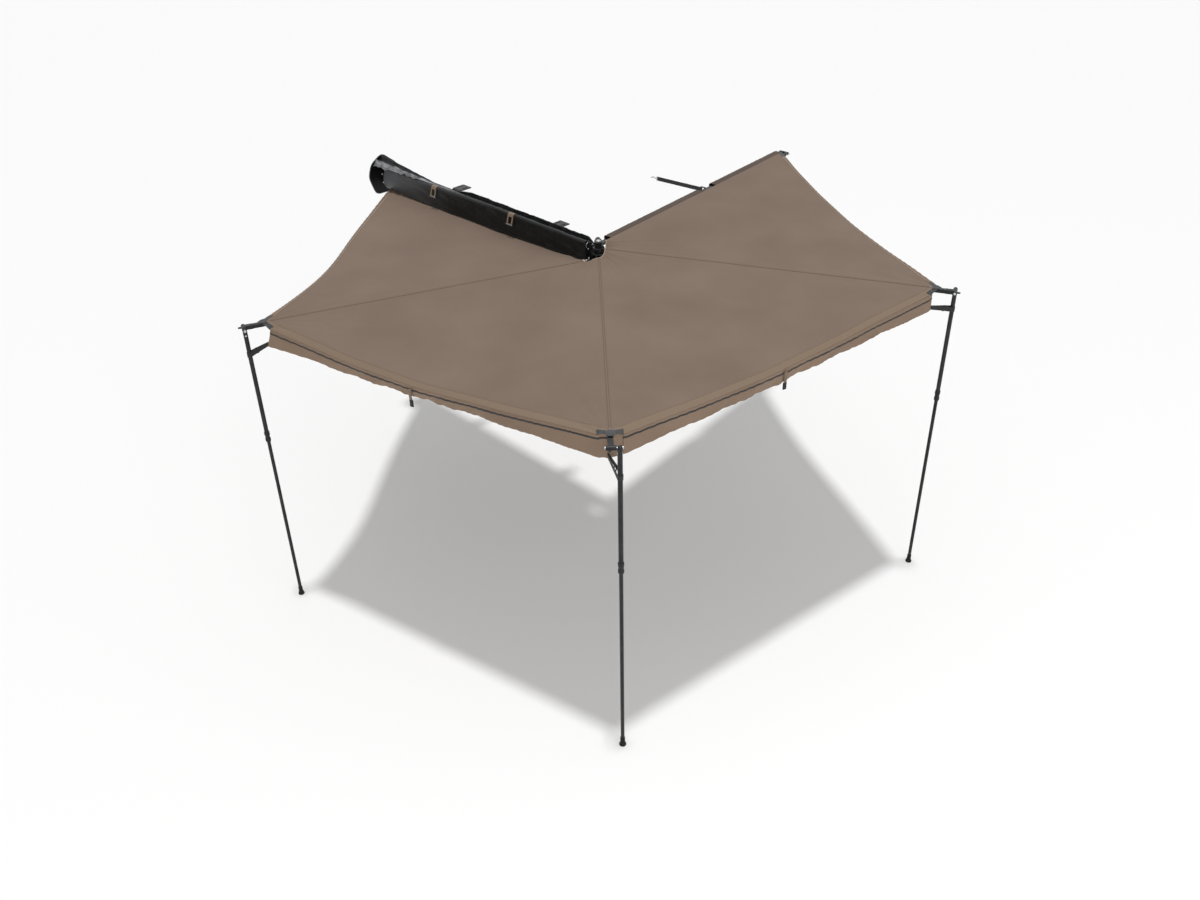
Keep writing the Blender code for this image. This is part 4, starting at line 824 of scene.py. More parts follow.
def creases(index, x, y, from_hem, beside, along_hem):
    """Height of a panel's creases: folds that fan out of its two outer corners, gathers round the
    hub, puckers along the hem and slow hollows, all fading beside the rafters. The first panel has
    pleats beside its hem as well, which fade away from the bar's front end."""
    high, length = HOLLOWS
    rise = high * waves(x, y, length, CANOPY_SEED + index)
    high, folds, reach, clear = CORNER_FAN
    for turn, (cx, cy) in enumerate(corner_points(index)):
        off = np.hypot(x - cx, y - cy)
        bearing = np.arctan2(y - cy, x - cx)
        fan = np.sin(folds * bearing + 2.5 * np.sin(3 * bearing + index) + turn)
        rise = rise + high * fan * np.exp(-off / reach) * (1 - np.exp(-off / clear))
    high, folds, reach = HUB_GATHER
    radius, azimuth = np.hypot(x, y), np.arctan2(y, x)
    gather = np.sin(folds * azimuth + 3 * np.sin(5 * azimuth))
    rise = rise + high * gather * np.exp(-(radius - HUB_OPENING["c"]) / reach)
    high, length, reach = HEM_PUCKER
    pucker = np.sin(2 * math.pi * along_hem / length + 2 * np.sin(along_hem * 9 + index))
    rise = rise + high * pucker * np.exp(-from_hem / reach)
    if index == 0:
        high, length, reach, spread = BAR_PLEAT
        pleat = np.sin(2 * math.pi * from_hem / length + 0.8)
        ahead = np.hypot(x - BAR_EDGE[1], y - BAR_LINE)
        rise = rise + high * pleat * np.exp(-from_hem / reach - ahead / spread)
    return rise * smoother(beside / CREASE_FADE)


def rise_share(index, u, s):
    """Share of the climb from a panel's first edge to its second: a smooth step, but the first panel
    leaves the bar steeply, as 1 - (1 - u)^k with a power that changes on the way out."""
    if index:
        return smoother(u)
    near, past, far = FIRST_RISE
    power = near + (past - near) * smoother(s / 0.08) + (far - past) * s
    return 1 - (1 - u) ** power


def panel(index, u, s):
    """Points of a panel's top, u across from its first edge to its second and s out from the hub.
    At s = 1 the hem is the straight chord between the corners, drawn in by its sag. The height
    goes from one edge's to the other's with a sag between, and the hem's band turns down."""
    last_side = -(SLEEVE_HALF + SEAM_GAP) if index == 3 else -SEAM_GAP
    a0, r0, z0 = edge_line(index, SEAM_GAP, s)
    a1, r1, z1 = edge_line(index + 1, last_side, s)
    angle = a0 + u * (a1 - a0)
    chord = r0 * r1 * np.sin(a1 - a0) / (r0 * np.sin(angle - a0) + r1 * np.sin(a1 - angle))
    chord = chord * (1 - HEM_SAG[index] * 4 * u ** HEM_SKEW[index] * (1 - u) * s)
    radius = (1 - s) * (r0 + u * (r1 - r0)) + s * chord
    x, y = radius * np.cos(angle), radius * np.sin(angle)
    belly = np.sqrt(np.sin(math.pi * u) ** 2 + RIDGE_SOFTNESS ** 2) - RIDGE_SOFTNESS
    height = z0 + (z1 - z0) * rise_share(index, u, s) - CANOPY_DROP[index] * belly * s + FABRIC
    first = np.abs(np.sin(angle - a0)) * radius
    second = np.abs(np.sin(a1 - angle)) * radius
    beside = np.minimum(first, second) if index else second
    from_hem = (1 - s) * CANOPY_RUN
    height = height + creases(index, x, y, from_hem, beside, u * radius * (a1 - a0))
    band = np.clip(1 - from_hem / HEM_BAND[index], 0, 1)
    height = height - BAND_DROP[index] * band * smoother(np.minimum(first, second) / CORNER_CLEAR - 0.2)
    return joined(x, y, height)


# Places u of a panel's columns: the mean of an even row and one crowded towards both edges
CROWDED = (1 - np.cos(np.linspace(0, math.pi, COLUMN_COUNT))) / 2
COLUMNS = CROWDED * 0.5 + np.linspace(0, 1, COLUMN_COUNT) * 0.5


def rows_of(index):
    """Places s of a panel's rows: even up to the hem's band, then finer across it."""
    turn = 1 - HEM_BAND[index] / CANOPY_RUN
    return np.concatenate([np.linspace(0, turn, BODY_ROWS), np.linspace(turn, 1, BAND_ROWS)[1:]])


def cloth_map(index, points):
    """Map of a panel in metres, turned so that its threads run along the hem."""
    (x0, y0), (x1, y1) = corner_points(index)
    along = np.array([x1 - x0, y1 - y0]) / math.hypot(x1 - x0, y1 - y0)
    x, y = points[..., 0], points[..., 1]
    return joined(x * along[0] + y * along[1], y * along[0] - x * along[1])


def build_panel(index, node):
    """One canopy panel, made as a sheet of the size it is cut to."""
    s, u = np.meshgrid(rows_of(index), COLUMNS, indexing="ij")
    top = panel(index, u, s)
    inner = top - normals(top) * FABRIC
    inner[..., 2] = np.minimum(inner[..., 2], top[..., 2] - FABRIC * 0.8)
    piece = made(node.replace("panel", "canopy"), sheet_form(top + HUB, inner + HUB), "canvas",
                 uv=cloth_map(index, top), replaces=(node,))
    folding(piece, u)
    return piece


def strip_on(index, name, u_span, s_span, lift, thick, finish, slot):
    """Strip sewn on a panel, drawn on the panel's own rows and columns and lifted off it."""
    rows, columns = rows_of(index), COLUMNS
    rows = np.unique(np.concatenate([rows[(rows > s_span[0]) & (rows < s_span[1])], s_span]))
    columns = np.unique(np.concatenate([columns[(columns > u_span[0]) & (columns < u_span[1])], u_span]))
    s, u = np.meshgrid(rows, columns, indexing="ij")
    base = panel(index, u, s)
    out = normals(base)
    low, top = base + out * lift, base + out * (lift + thick)
    across = (s - s_span[0]) * CANOPY_RUN
    along = np.hypot(base[..., 0] - base[0, 0, 0], base[..., 1] - base[0, 0, 1])
    piece = made(name, sheet_form(top + HUB, low + HUB), finish, uv=joined(across, along))
    return folding(piece, u)


def hem_turn(index, side):
    """Place u of a point on the hem a distance beside the panel's first (side above 0) or second
    rafter (side below 0)."""
    a0, r0, _ = edge_line(index, 0.0, np.float64(1.0))
    a1, r1, _ = edge_line(index + 1, 0.0, np.float64(1.0))
    if side > 0:
        return float(math.asin(side / r0) / (a1 - a0))
    return float(1 - math.asin(-side / r1) / (a1 - a0))


def hem_strip(index, label):
    """Hem folded double along a panel's outer edge."""
    turn = 1 - HEM_BAND[index] / CANOPY_RUN
    finish = "wide_hem" if BAND_DROP[index] else "hem"
    return strip_on(index, "hem_%s" % label, (0.0, 1.0), (turn, 1.0), *HEM_SEWN, finish, "canvas")


def hem_cord(index, label):
    """Pale cord sewn along the inner side of a narrow hem."""
    turn = 1 - HEM_BAND[index] / CANOPY_RUN
    span = (turn - CORD_WIDTH / CANOPY_RUN, turn)
    return strip_on(index, "hem_cord_%s" % label, (0.0, 1.0), span, *CORD_SEWN, "trim", "canvas")


def hub_trim(index, label):
    """Tape bound round the canopy's opening at the hub: a small tube along the panel's inner edge."""
    u = np.linspace(0, 1, 40)
    path = panel(index, u, 0 * u) + (0, 0, -FABRIC / 2)
    return sewn_cord("hub_trim_" + label, path + HUB, ring(TRIM_RADIUS), u, "trim",
                     uv=joined(0, u * TRIM_MAP))


def corner_patch(index, side, label):
    """Half of the webbing chevron that binds a canopy corner: a strip along the hem that starts at
    the rafter and ends square."""
    inside = 1 - PATCH_DEPTH / CANOPY_RUN
    stop = hem_turn(index, PATCH_REACH * side)
    span = (0.0, stop) if side > 0 else (stop, 1.0)
    return strip_on(index, "corner_patch_%s" % label, span, (inside, 1.0), *PATCH_SEWN, "patch", "webbing")


def corner_tab(name):
    """Webbing tab that ties a canopy corner to the rafter's end: wide and flat on the corner, then
    narrow and bent down over the rafter's sides."""
    x, across = np.meshgrid(np.linspace(*TAB_SPAN, 40), np.linspace(-1, 1, 15), indexing="ij")
    wide, narrow = TAB_HALF
    half = wide + (narrow - wide) * smoother((x - TAB_SPAN[0]) / TAB_NARROWS)
    bent = smoother((x - TAB_BEND[0]) / TAB_BEND[1])
    middle, sides = TAB_FALL
    height = CANOPY_TOP + TAB_LIFT - bent * (middle + sides * np.abs(across) ** 5)
    low = joined(CORNER_RADIUS[name] + x, across * half, height)
    top = low + (0, 0, TAB_THICK)
    made("corner_tab_" + name, sheet_form(in_rafter(name, top), in_rafter(name, low)), "patch",
         body="arm_" + name, uv=joined(across * half, x))


def skirt_depth(index, t):
    """Depth of a skirt: shallow in the middle and deeper towards each of its two ends."""
    (first, last), middle = VALANCE_ENDS[index], VALANCE_MIDDLE[index]
    return middle + (np.where(t < 0.5, first, last) - middle) * np.abs(2 * t - 1) ** 1.6


def skirt(index, v, t):
    """Skirt below a hem: it hangs from the hem's lower edge in soft folds that grow downwards and
    shift from row to row, and its lower corners are drawn towards the legs by the straps."""
    start, stop = hem_turn(index, VALANCE_START), hem_turn(index, -VALANCE_STOP[RAFTERS[index]])
    u = start + t * (stop - start)
    top = panel(index, u, np.ones_like(u))
    out = top[..., :2] / np.linalg.norm(top[..., :2], axis=-1, keepdims=True)
    ends = np.sin(math.pi * t) ** 0.5
    deep, ripple, uneven = SKIRT_FOLD
    fold = deep * np.sin(2 * math.pi * (VALANCE_FOLDS * t + 0.15 * np.sin(3 * v + 9 * t)))
    fold = fold + ripple * np.sin(2 * math.pi * (SKIRT_RIPPLES * t + 0.8 * v))
    fold = (fold + uneven * waves(t * 2.2, v * 0.1, 0.09, SKIRT_SEED + index)) * v * ends
    fold = fold - SKIRT_LEAN * v ** 2 * np.sin(math.pi * t)
    points = top.copy()
    points[..., :2] += out * (fold - SKIRT_BEHIND)[..., None]
    points[..., 2] -= SKIRT_BELOW + v * skirt_depth(index, t)
    for name, away, end in ((RAFTERS[index - 1], t, 0), (RAFTERS[index], 1 - t, -1)):
        leg = in_rafter(name, (REACH[name], LEG_OFFSET[name], 0))[:2] - HUB[:2]
        near = leg - top[0, end, :2]
        draw = VALANCE_PULL[name] * np.maximum(v, 0) ** 1.3 * np.exp(-away / 0.05)
        points[..., :2] += near / np.linalg.norm(near) * draw[..., None]
    return points, u


def build_valance(index, node):
    """Skirt of one side with the black zip across it, its rolled edge and the closed corner."""
    label = node[-3:]
    v, t = np.meshgrid(np.linspace(0, 1, 19), np.linspace(0, 1, 180), indexing="ij")
    grid, u = skirt(index, v, t)
    down, length = v * skirt_depth(index, t), t * SKIRT_RUN
    form = sheet_form(grid[::-1] + HUB, (grid + normals(grid) * FABRIC)[::-1] + HUB)
    piece = made("skirt_" + label, form, "valance", uv=joined(length, down)[::-1], replaces=(node,))
    folding(piece, u[::-1])
    first, last = ZIP_DROP[index]
    drop = (first + (last - first) * t[:1]) / skirt_depth(index, t[:1])
    path = skirt(index, np.concatenate([0 * drop, drop]), np.concatenate([t[:1], t[:1]]))[0][1]
    tape = sewn_cord("zip_tape_" + label, path + HUB, rounded_rectangle(*ZIP_TAPE, 3), u[0], "webbing",
                     uv=joined(0, length[0]))
    edge = sewn_cord("skirt_edge_" + label, grid[-1] + (0, 0, 0.001) + HUB, ring(EDGE_RADIUS), u[0],
                     "valance", uv=joined(length[0], 0))
    if index == 1:
        skirt_corner(grid[:, -1])


def skirt_corner(edge):
    """Gusset that joins the two skirts behind the second leg: straight lines from one's end to the
    other's start, bowed outwards and raised a little at its top."""
    v, t = np.meshgrid(np.linspace(0, 1, len(edge)), np.zeros(2), indexing="ij")
    start = skirt(2, v, t)[0][:, 0]
    v = v[:, :1]
    across = np.linspace(-GUSSET_LAP, 1 + GUSSET_LAP, 16)[None]
    bow = np.sin(math.pi * across)
    out = np.array([*(edge[0, :2] / np.linalg.norm(edge[0, :2])), 0])
    grid = edge[:, None] + (start - edge)[:, None] * across[..., None]
    grid = grid + out * (GUSSET_BOW * bow - GUSSET_BEHIND)[..., None]
    grid[..., 2] += GUSSET_LIFT * bow * (1 - v)
    form = sheet_form(grid[::-1] + HUB, (grid - out * FABRIC)[::-1] + HUB)
    piece = made("skirt_corner_b", form, "valance", body="arm_b", uv=joined(across * 0.07, v * 0.1)[::-1])
    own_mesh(piece)
    return piece


def seam_strip(name):
    """Felled seam along a rafter: a narrow strip over the joint of two panels, puckered a little and
    higher along its middle, with the rivet of the canopy's corner near its end."""
    start, stop = HUB_OPENING[name] + 0.004, CORNER_RADIUS[name] - 0.002
    x, y = np.meshgrid(np.linspace(start, stop, 260), np.linspace(-SEAM_HALF, SEAM_HALF, 7), indexing="ij")
    rest = CANOPY_TOP + SEAM_LIFT
    pucker = 0.00035 * np.sin(2 * math.pi * x / 0.021) * np.abs(y / SEAM_HALF)
    low = joined(x, y, rest)
    top = low + joined(0, 0, SEAM_THICK + pucker + 0.0003 * (1 - (y / SEAM_HALF) ** 2))
    made("seam_%s" % name, sheet_form(in_rafter(name, top), in_rafter(name, low)), "seam",
         body="arm_" + name, uv=joined(y + SEAM_HALF, x))
    head, faces = turned_form(CORNER_RIVET, 24)
    at = np.array([CORNER_RADIUS[name] - RIVET_INSET, 0, rest + 0.0013])
    made("corner_rivet_%s" % name, (in_rafter(name, head + at), faces), "buckle", body="arm_" + name)


def sleeve_grid(start, stop, rows):
    """Sleeve of the fourth rafter: a flattened tube, puckered across, with slack on its outer side."""
    height = OVER_FOLDED_LEG + FABRIC + RAFTER_TOP + 0.0019
    middle = OVER_FOLDED_LEG + FABRIC - height / 2
    section = resampled(rounded_rectangle(2 * SLEEVE_HALF, height, 0.006), SLEEVE_SIDES, True)
    x = np.linspace(start, stop, rows)[:, None]
    y, z = section[None, :, 0], section[None, :, 1]
    pinch = 1 - 0.035 * (1 + waves(x, np.arctan2(z, y) * 0.05, 0.045, 71)) * 0.5
    y = np.where(y > 0, SLEEVE_SLACK, 1) * y
    across = np.arange(SLEEVE_SIDES)[None] / SLEEVE_SIDES * 0.13
    return joined(x, y * pinch, z * pinch + middle), joined(across, x)


def build_sleeve():
    """Sleeve in three lengths: two tubes either side of the tie's window and the strip below it."""
    near, far = TIE_RADIUS - TIE_WINDOW / 2, TIE_RADIUS + TIE_WINDOW / 2
    spans = (("inner", SLEEVE_START, near, 200), ("outer", far, CORNER_RADIUS["d"], 180))
    for label, start, stop, rows in spans:
        grid, uv = sleeve_grid(start, stop, rows)
        inner = grid - normals(grid) * (0, SLEEVE_CLOTH, SLEEVE_CLOTH)
        form = sheet_form(in_rafter("d", grid[::-1]), in_rafter("d", inner[::-1]), True)
        piece = made("sleeve_d_" + label, form, "mesh_cloth", body="arm_d", uv=uv[::-1])
    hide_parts("rafter_sleeve_d")
    lap, low, high = BRIDGE
    x, z = np.meshgrid(np.linspace(near - lap, far + lap, 24), np.linspace(low, high, 8), indexing="ij")
    bridge = joined(x, -SLEEVE_HALF + 0.0008 + 0.0006 * np.sin(2 * math.pi * x / 0.05), z)
    form = sheet_form(in_rafter("d", bridge), in_rafter("d", bridge + (0, SLEEVE_CLOTH, 0)))
    strip = made("sleeve_d_bridge", form, "mesh_cloth", body="arm_d", uv=joined(z, x))


def toggle(index, u, label):
    """Tab and clip that hang from the zip tape: a folded webbing loop and a moulded clip on it."""
    at = panel(index, np.float64(u), np.float64(1.0)) + HUB
    out = np.append(at[:2] - HUB[:2], 0)
    out /= np.linalg.norm(out)
    up = np.array([0, 0, 1])
    t = np.linspace(0, 1, 15)
    off, fall = 0.004 + 0.003 * np.sin(math.pi * t), TAB_BELOW + TOGGLE_TAB * t
    path = at + off[:, None] * out - fall[:, None] * up
    sewn_cord("toggle_tab_" + label, path, rounded_rectangle(*TOGGLE_WEBBING, 3), np.full(len(t), u),
              "taupe_webbing", uv=joined(0, TOGGLE_TAB * t), up=out)
    wide, thick, long = TOGGLE_CLIP
    drop = path[-1] - np.linspace(-0.004, long, 6)[:, None] * up
    sewn_cord("toggle_clip_" + label, drop, rounded_rectangle(wide, thick, 0.0025, 4), np.full(6, u),
              "nylon", up=out)


# Webbing at the legs

def leg_strap(name):
    """Webbing loop from the valance's corner round the leg: a flat band that narrows where it is sewn
    to the corner and falls evenly from there to the leg, closed over itself with a slide buckle."""
    v, t = np.full((1, 2), LOOP_JOINS), np.array([[0.0, 1.0]])
    corner = skirt(1 if name in "ab" else 2, v, t)[0][0, 0 if name == "a" else 1] + HUB
    leg = in_rafter(name, (REACH[name], LEG_OFFSET[name], 0))
    flat = corner[:2] - leg[:2]
    length, heading = float(np.hypot(*flat)) + 0.002, math.atan2(flat[1], flat[0])
    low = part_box("leg_strap_" + name)[0][2] - LOOP_FALL
    c, s = math.cos(heading), math.sin(heading)
    rise = np.linspace(0, 1, LOOP_ROWS)[:, None]
    grids = []
    for lift in LOOP_LIFT:
        turn = arc((0, 0), LEG_RADIUS + lift, 72, 288, 40)
        end = arc((length - 0.003, 0), lift + LOOP_LIFT[1], -80, 80, 12)
        x, y = resampled(np.concatenate([turn, end]), LOOP_COLUMNS, True).T[:, None]
        share = np.clip(x / length, 0, 1)
        band = (rise - 0.5) * (1 - 0.15 * smoother(share))
        height = low + (corner[2] - low) * share - LOOP_WIDTH * band + 0.0005 * np.sin(40 * x)
        grids.append(joined(leg[0] + c * x - s * y, leg[1] + s * x + c * y, height))
    made("leg_loop_" + name, sheet_form(grids[0], grids[1], True), "webbing", body="arm_" + name,
         uv=joined(rise * LOOP_WIDTH, np.linspace(0, 0.26, LOOP_COLUMNS)), replaces=("leg_strap_" + name,))
    wire = resampled(rounded_rectangle(*LOOP_BUCKLE), 40, True)
    middle = np.array([*leg[:2], low]) + LOOP_BUCKLE_AT * np.array([c * length, s * length, corner[2] - low])
    path = middle + wire[:, 1:] * np.array([c, s, 0]) + wire[:, :1] * np.array([0, 0, 1])
    made("leg_buckle_" + name, swept_form(path, ring(0.0019), up=(-s, c, 0), closed=True), "nylon",
         body="arm_" + name)


# Legs

def upper_profile():
    """Upper tube of a leg: a domed head, the side, the open end and its bore up to the plug."""
    dome = [(LEG_RADIUS * math.cos(a), LEG_RADIUS * math.sin(a)) for a in np.radians(DOME_ANGLES)]
    side = [(LEG_RADIUS, -UPPER_TUBE * t) for t in np.linspace(0.02, 1, 24)]
    bore = LEG_RADIUS - UPPER_WALL
    return [(0, LEG_RADIUS)] + dome + side + [(bore, -UPPER_TUBE), (bore, -PLUG_DEPTH), (0, -PLUG_DEPTH)]


def grip_profile():
    """Twist collar: two fat ends about a waist, a tapered mouth and a bore for each tube. Each
    straight line is cut in four, so that the ribs can fade along it."""
    fat, slim = COLLAR_RADIUS - 0.0004, COLLAR_RADIUS - 0.002
    upper_bore, lower_bore = LEG_RADIUS + 0.0003, INNER_RADIUS + 0.0006
    short, long = COLLAR_WAIST
    shoulder = -UPPER_TUBE - 0.0003
    grip = [(upper_bore, COLLAR_TOP), (fat - 0.0012, COLLAR_TOP), (fat, COLLAR_TOP - 0.0012),
            (fat, COLLAR_MIDDLE + long), (slim, COLLAR_MIDDLE + short), (slim, COLLAR_MIDDLE - short),
            (fat, COLLAR_MIDDLE - long), (fat, COLLAR_LOW + 0.006), (lower_bore + 0.002, COLLAR_LOW),
            (lower_bore, COLLAR_LOW), (lower_bore, shoulder), (upper_bore, shoulder)]
    fine = []
    for start, stop in zip(grip, grip[1:]):
        fine += [tuple(np.array(start) + (np.array(stop) - start) * t) for t in np.linspace(0, 1, 5)[:-1]]
    return fine + [grip[-1]]


def grip_ribs(turn, height):
    """Grip ribs on the collar's two fat ends, none on its waist or inside."""
    on = smoother((np.abs(height - COLLAR_MIDDLE) - 0.0085) / 0.003)
    on = on * smoother((COLLAR_TOP - 0.002 - height) / 0.002)
    on = on * smoother((height - COLLAR_LOW - 0.004) / 0.003)
    return 1 + RIB_HEIGHT * on * np.abs(np.sin(COLLAR_RIBS * turn / 2))


def boot_profile():
    """Rubber foot, from its pocket to the sole: radius and height above the sole. The sole has two
    ring grooves, the tread flares out, and the neck has three grooves."""
    tread = FOOT_RADIUS - 0.0008
    boot = [(0, 0), (0.006, 0), (0.0065, 0.0012), (0.0085, 0.0012), (0.009, 0), (0.0125, 0), (0.013, 0.0012),
            (0.0145, 0.0012), (0.015, 0), (tread, 0), (FOOT_RADIUS, 0.001), (FOOT_RADIUS, 0.0060),
            (tread, 0.0075), (FOOT_NECK + 0.0016, 0.0160), (FOOT_NECK, 0.0240)]
    for step in NECK_GROOVES:
        boot += [(FOOT_NECK, step), (FOOT_NECK - 0.0008, step + 0.0008), (FOOT_NECK - 0.0008, step + 0.0022),
                 (FOOT_NECK, step + 0.003)]
    pocket = INNER_RADIUS + 0.0003
    boot += [(FOOT_NECK, FOOT_HEIGHT - 0.001), (FOOT_NECK - 0.0007, FOOT_HEIGHT), (pocket, FOOT_HEIGHT),
             (pocket, BOOT_POCKET), (0, BOOT_POCKET)]
    return [(radius, height - INNER_LENGTH) for radius, height in boot[::-1]]


def build_leg(name):
    """Leg of a rafter: upper tube with a domed head and a rivet on either side, ribbed twist collar,
    inner tube and rubber foot. The map follows each tube's length."""
    low = -INNER_LENGTH + BOOT_POCKET + 0.0002
    slider = [(INNER_RADIUS, low * t) for t in np.linspace(0, 1, 24)]
    slider += [(INNER_RADIUS - INNER_WALL, low), (INNER_RADIUS - INNER_WALL, 0)]
    tube(name, "leg_tube", "leg_upper", "leg_", upper_profile(), 0.0, "anodised")
    tube(name, "leg_grip", "leg_collar", "collar_", grip_profile(), 0.0, "nylon", 144, grip_ribs, 20)
    tube(name, "leg_slider", "leg_inner", "tube_", slider, INNER_TOP[name], "anodised")
    tube(name, "leg_boot", "leg_foot", "tube_", boot_profile(), INNER_TOP[name], "rubber", 48)
    side = 1 if LEG_OFFSET[name] > 0 else -1
    head, faces = turned_form(eased(LEG_RIVET, 0.0004), 20)
    for label, way in (("out", side), ("in", -side)):
        points = joined(head[:, 0], way * (LEG_RADIUS + head[:, 2] - 0.0003), way * -head[:, 1])
        made("leg_rivet_%s_%s" % (name, label), (on_leg(name, points - (0, 0, RIVET_DROP)), faces), "steel",
             body="leg_" + name)


def tube(name, label, node, body, profile, raise_by, finish, sides=40, swell=None, crease=40):
    """Turned piece of a leg in place, with a map of turn and length."""
    points, faces = turned_form(profile, sides, swell)
    uv = joined(np.arctan2(points[:, 1], points[:, 0]) * LEG_RADIUS, points[:, 2])
    points = on_leg(name, points + (0, 0, raise_by))
    return made("%s_%s" % (label, name), (points, faces), finish, body=body + name, uv=uv, crease=crease,
                replaces=("%s_%s" % (node, name),))


# Bag

def canopy_height(x):
    """Height of the first panel's underside below the cover's front, by the step between the bar's
    edge and the first rafter."""
    radius, angle = np.hypot(x, COVER_FRONT), np.arctan2(COVER_FRONT, x)
    start = np.arcsin(BAR_LINE / radius)
    share = (angle - start) / (ANGLE["a"] - start)
    out = (x - BAR_EDGE[0]) / (BAR_EDGE[1] - BAR_EDGE[0])
    return BAR_EDGE_HEIGHT + (CANOPY_HEIGHT["a"] - BAR_EDGE_HEIGHT) * rise_share(0, share, out)


def cover_edge(x):
    """Height of the cover's lower edge: a straight line, or just above the canopy where that is higher."""
    share = (x - COVER_SPAN[0]) / (COVER_SPAN[1] - COVER_SPAN[0])
    canopy = canopy_height(np.maximum(x, COVER_OVER_CANOPY)) + FABRIC + COVER_CLEARANCE
    return np.maximum(COVER_EDGE[0] + (COVER_EDGE[1] - COVER_EDGE[0]) * share, canopy)


def lip_sag(x):
    """How far the loose cover's front corner has sunk: nothing at the rear, most at the front end."""
    return LIP_SAG * smoother((x - LIP_RUN[0]) / LIP_RUN[1])


def cover_line():
    """Section of the cover down to where its face starts, in y and z: a straight slope from the
    hinge that runs into a round front corner."""
    out = np.array([-math.sin(COVER_SLOPE), math.cos(COVER_SLOPE)])
    share = np.linspace(0, 1, SLOPE_POINTS + 1)[:-1, None]
    slope = (1 - share) * (COVER_PIVOT + COVER_SHEET / 2 * out) + share * (COVER_CENTRE + COVER_CORNER * out)
    turn = arc(COVER_CENTRE, COVER_CORNER, 90 + math.degrees(COVER_SLOPE), 0, CORNER_POINTS)
    return np.concatenate([slope, turn])


def cover_grid():
    """Cover over the bar: a slope from its hinge, a round front corner and a face down to its edge,
    with soft rumples that run along it, fade at the straps, and a belly that grows to the front end."""
    x = np.concatenate([np.linspace(COVER_SPAN[0], 0.12, 16), np.linspace(0.12, COVER_SPAN[1], 230)[1:]])
    low, sag = cover_edge(x)[:, None], lip_sag(x)[:, None]
    head = cover_line()
    down = np.linspace(0, 1, 30)[1:]
    y = np.concatenate([head[:, 0], np.full(len(down), COVER_FRONT)])
    forward = (head[:, 0] - COVER_PIVOT[0]) / (COVER_FRONT - COVER_PIVOT[0])
    start = COVER_CENTRE[1] - sag
    z = np.concatenate([head[None, :, 1] - sag * forward, start + (low - start) * down[None]], axis=1)
    grid = joined(x[:, None], y, z)
    way = np.broadcast_to(travelled(joined(y, z[COVER_MAP_ROW])), z.shape)
    along = grid[..., 0]
    free = smoother((way - 0.010) / 0.050)
    rumple = 0.0009 * waves(along * 0.35, way * 1.6, 0.085, 11) + 0.0003 * waves(along, way, 0.030, 12)
    rumple = rumple + 0.0016 * waves(along, way * 0.4, 0.30, 13) * smoother((way - 0.03) / 0.08)
    spans = np.minimum(np.abs(along - STRAP_X["rear"]), np.abs(along - STRAP_X["front"]))
    rumple = rumple * (0.35 + 0.65 * smoother(spans / 0.09))
    face = np.clip((COVER_CENTRE[1] - grid[..., 2]) / (COVER_CENTRE[1] - low), 0, 1)
    belly = COVER_BELLY * smoother((along - 1.55) / 0.36) * np.sin(math.pi * face ** 1.35)
    return grid + normals(grid) * (rumple * free + belly - 0.0004)[..., None], joined(way, along)


def hood_grid():
    """Loose front end of the cover: lines across it go from flat on the slope to their place at the
    end panel, where it rises to a ridge, dips, and falls from a wrinkled crease to a free flap. Each
    line is then smoothed by the mean of its neighbours."""
    along, across = np.meshgrid(np.linspace(0, 1, 120), np.linspace(0, 1, 84), indexing="ij")
    tilt = math.tan(COVER_SLOPE)
    over = 0.0012 + COVER_SHEET / 2 / math.cos(COVER_SLOPE)
    flat = np.interp(across, HOOD_LINES, HOOD_FLAT)
    root = (HOOD_FLAT[0], (HOOD_FLAT[0] - COVER_PIVOT[0]) * tilt + over + COVER_PIVOT[1])
    risen = [np.interp(across, HOOD_LINES, [point[k] for point in (root, *HOOD_RISEN)]) for k in (0, 1)]
    x = HOOD_SPAN[0] + along * (HOOD_SPAN[1] - HOOD_SPAN[0])
    forward = (flat - COVER_PIVOT[0]) / (COVER_FRONT - COVER_PIVOT[0])
    rest = (flat - COVER_PIVOT[0]) * tilt + over + COVER_PIVOT[1] - lip_sag(x) * forward
    y, z = flat + along * (risen[0] - flat), rest + along * (risen[1] - rest)
    front = smoother((across - 0.55) / 0.25)
    wrinkle = 0.0034 * waves(x, 0.5 * y, 0.110, 22) * front + 0.0020 * waves(x, y, 0.045, 23) * front
    wrinkle = wrinkle + 0.0016 * waves(x, y, 0.060, 21) * smoother(across * 3)
    z = z + wrinkle * smoother(along / 0.25)
    y = y + 0.0020 * smoother(along / 0.4) * front * np.sin(2 * math.pi * x / 0.061)
    grid = joined(x, y, z)
    for _ in range(HOOD_SMOOTHINGS):
        grid[:, 1:-1] = 0.25 * grid[:, :-2] + 0.5 * grid[:, 1:-1] + 0.25 * grid[:, 2:]
    return grid, joined(across * HOOD_WIDTH, x)


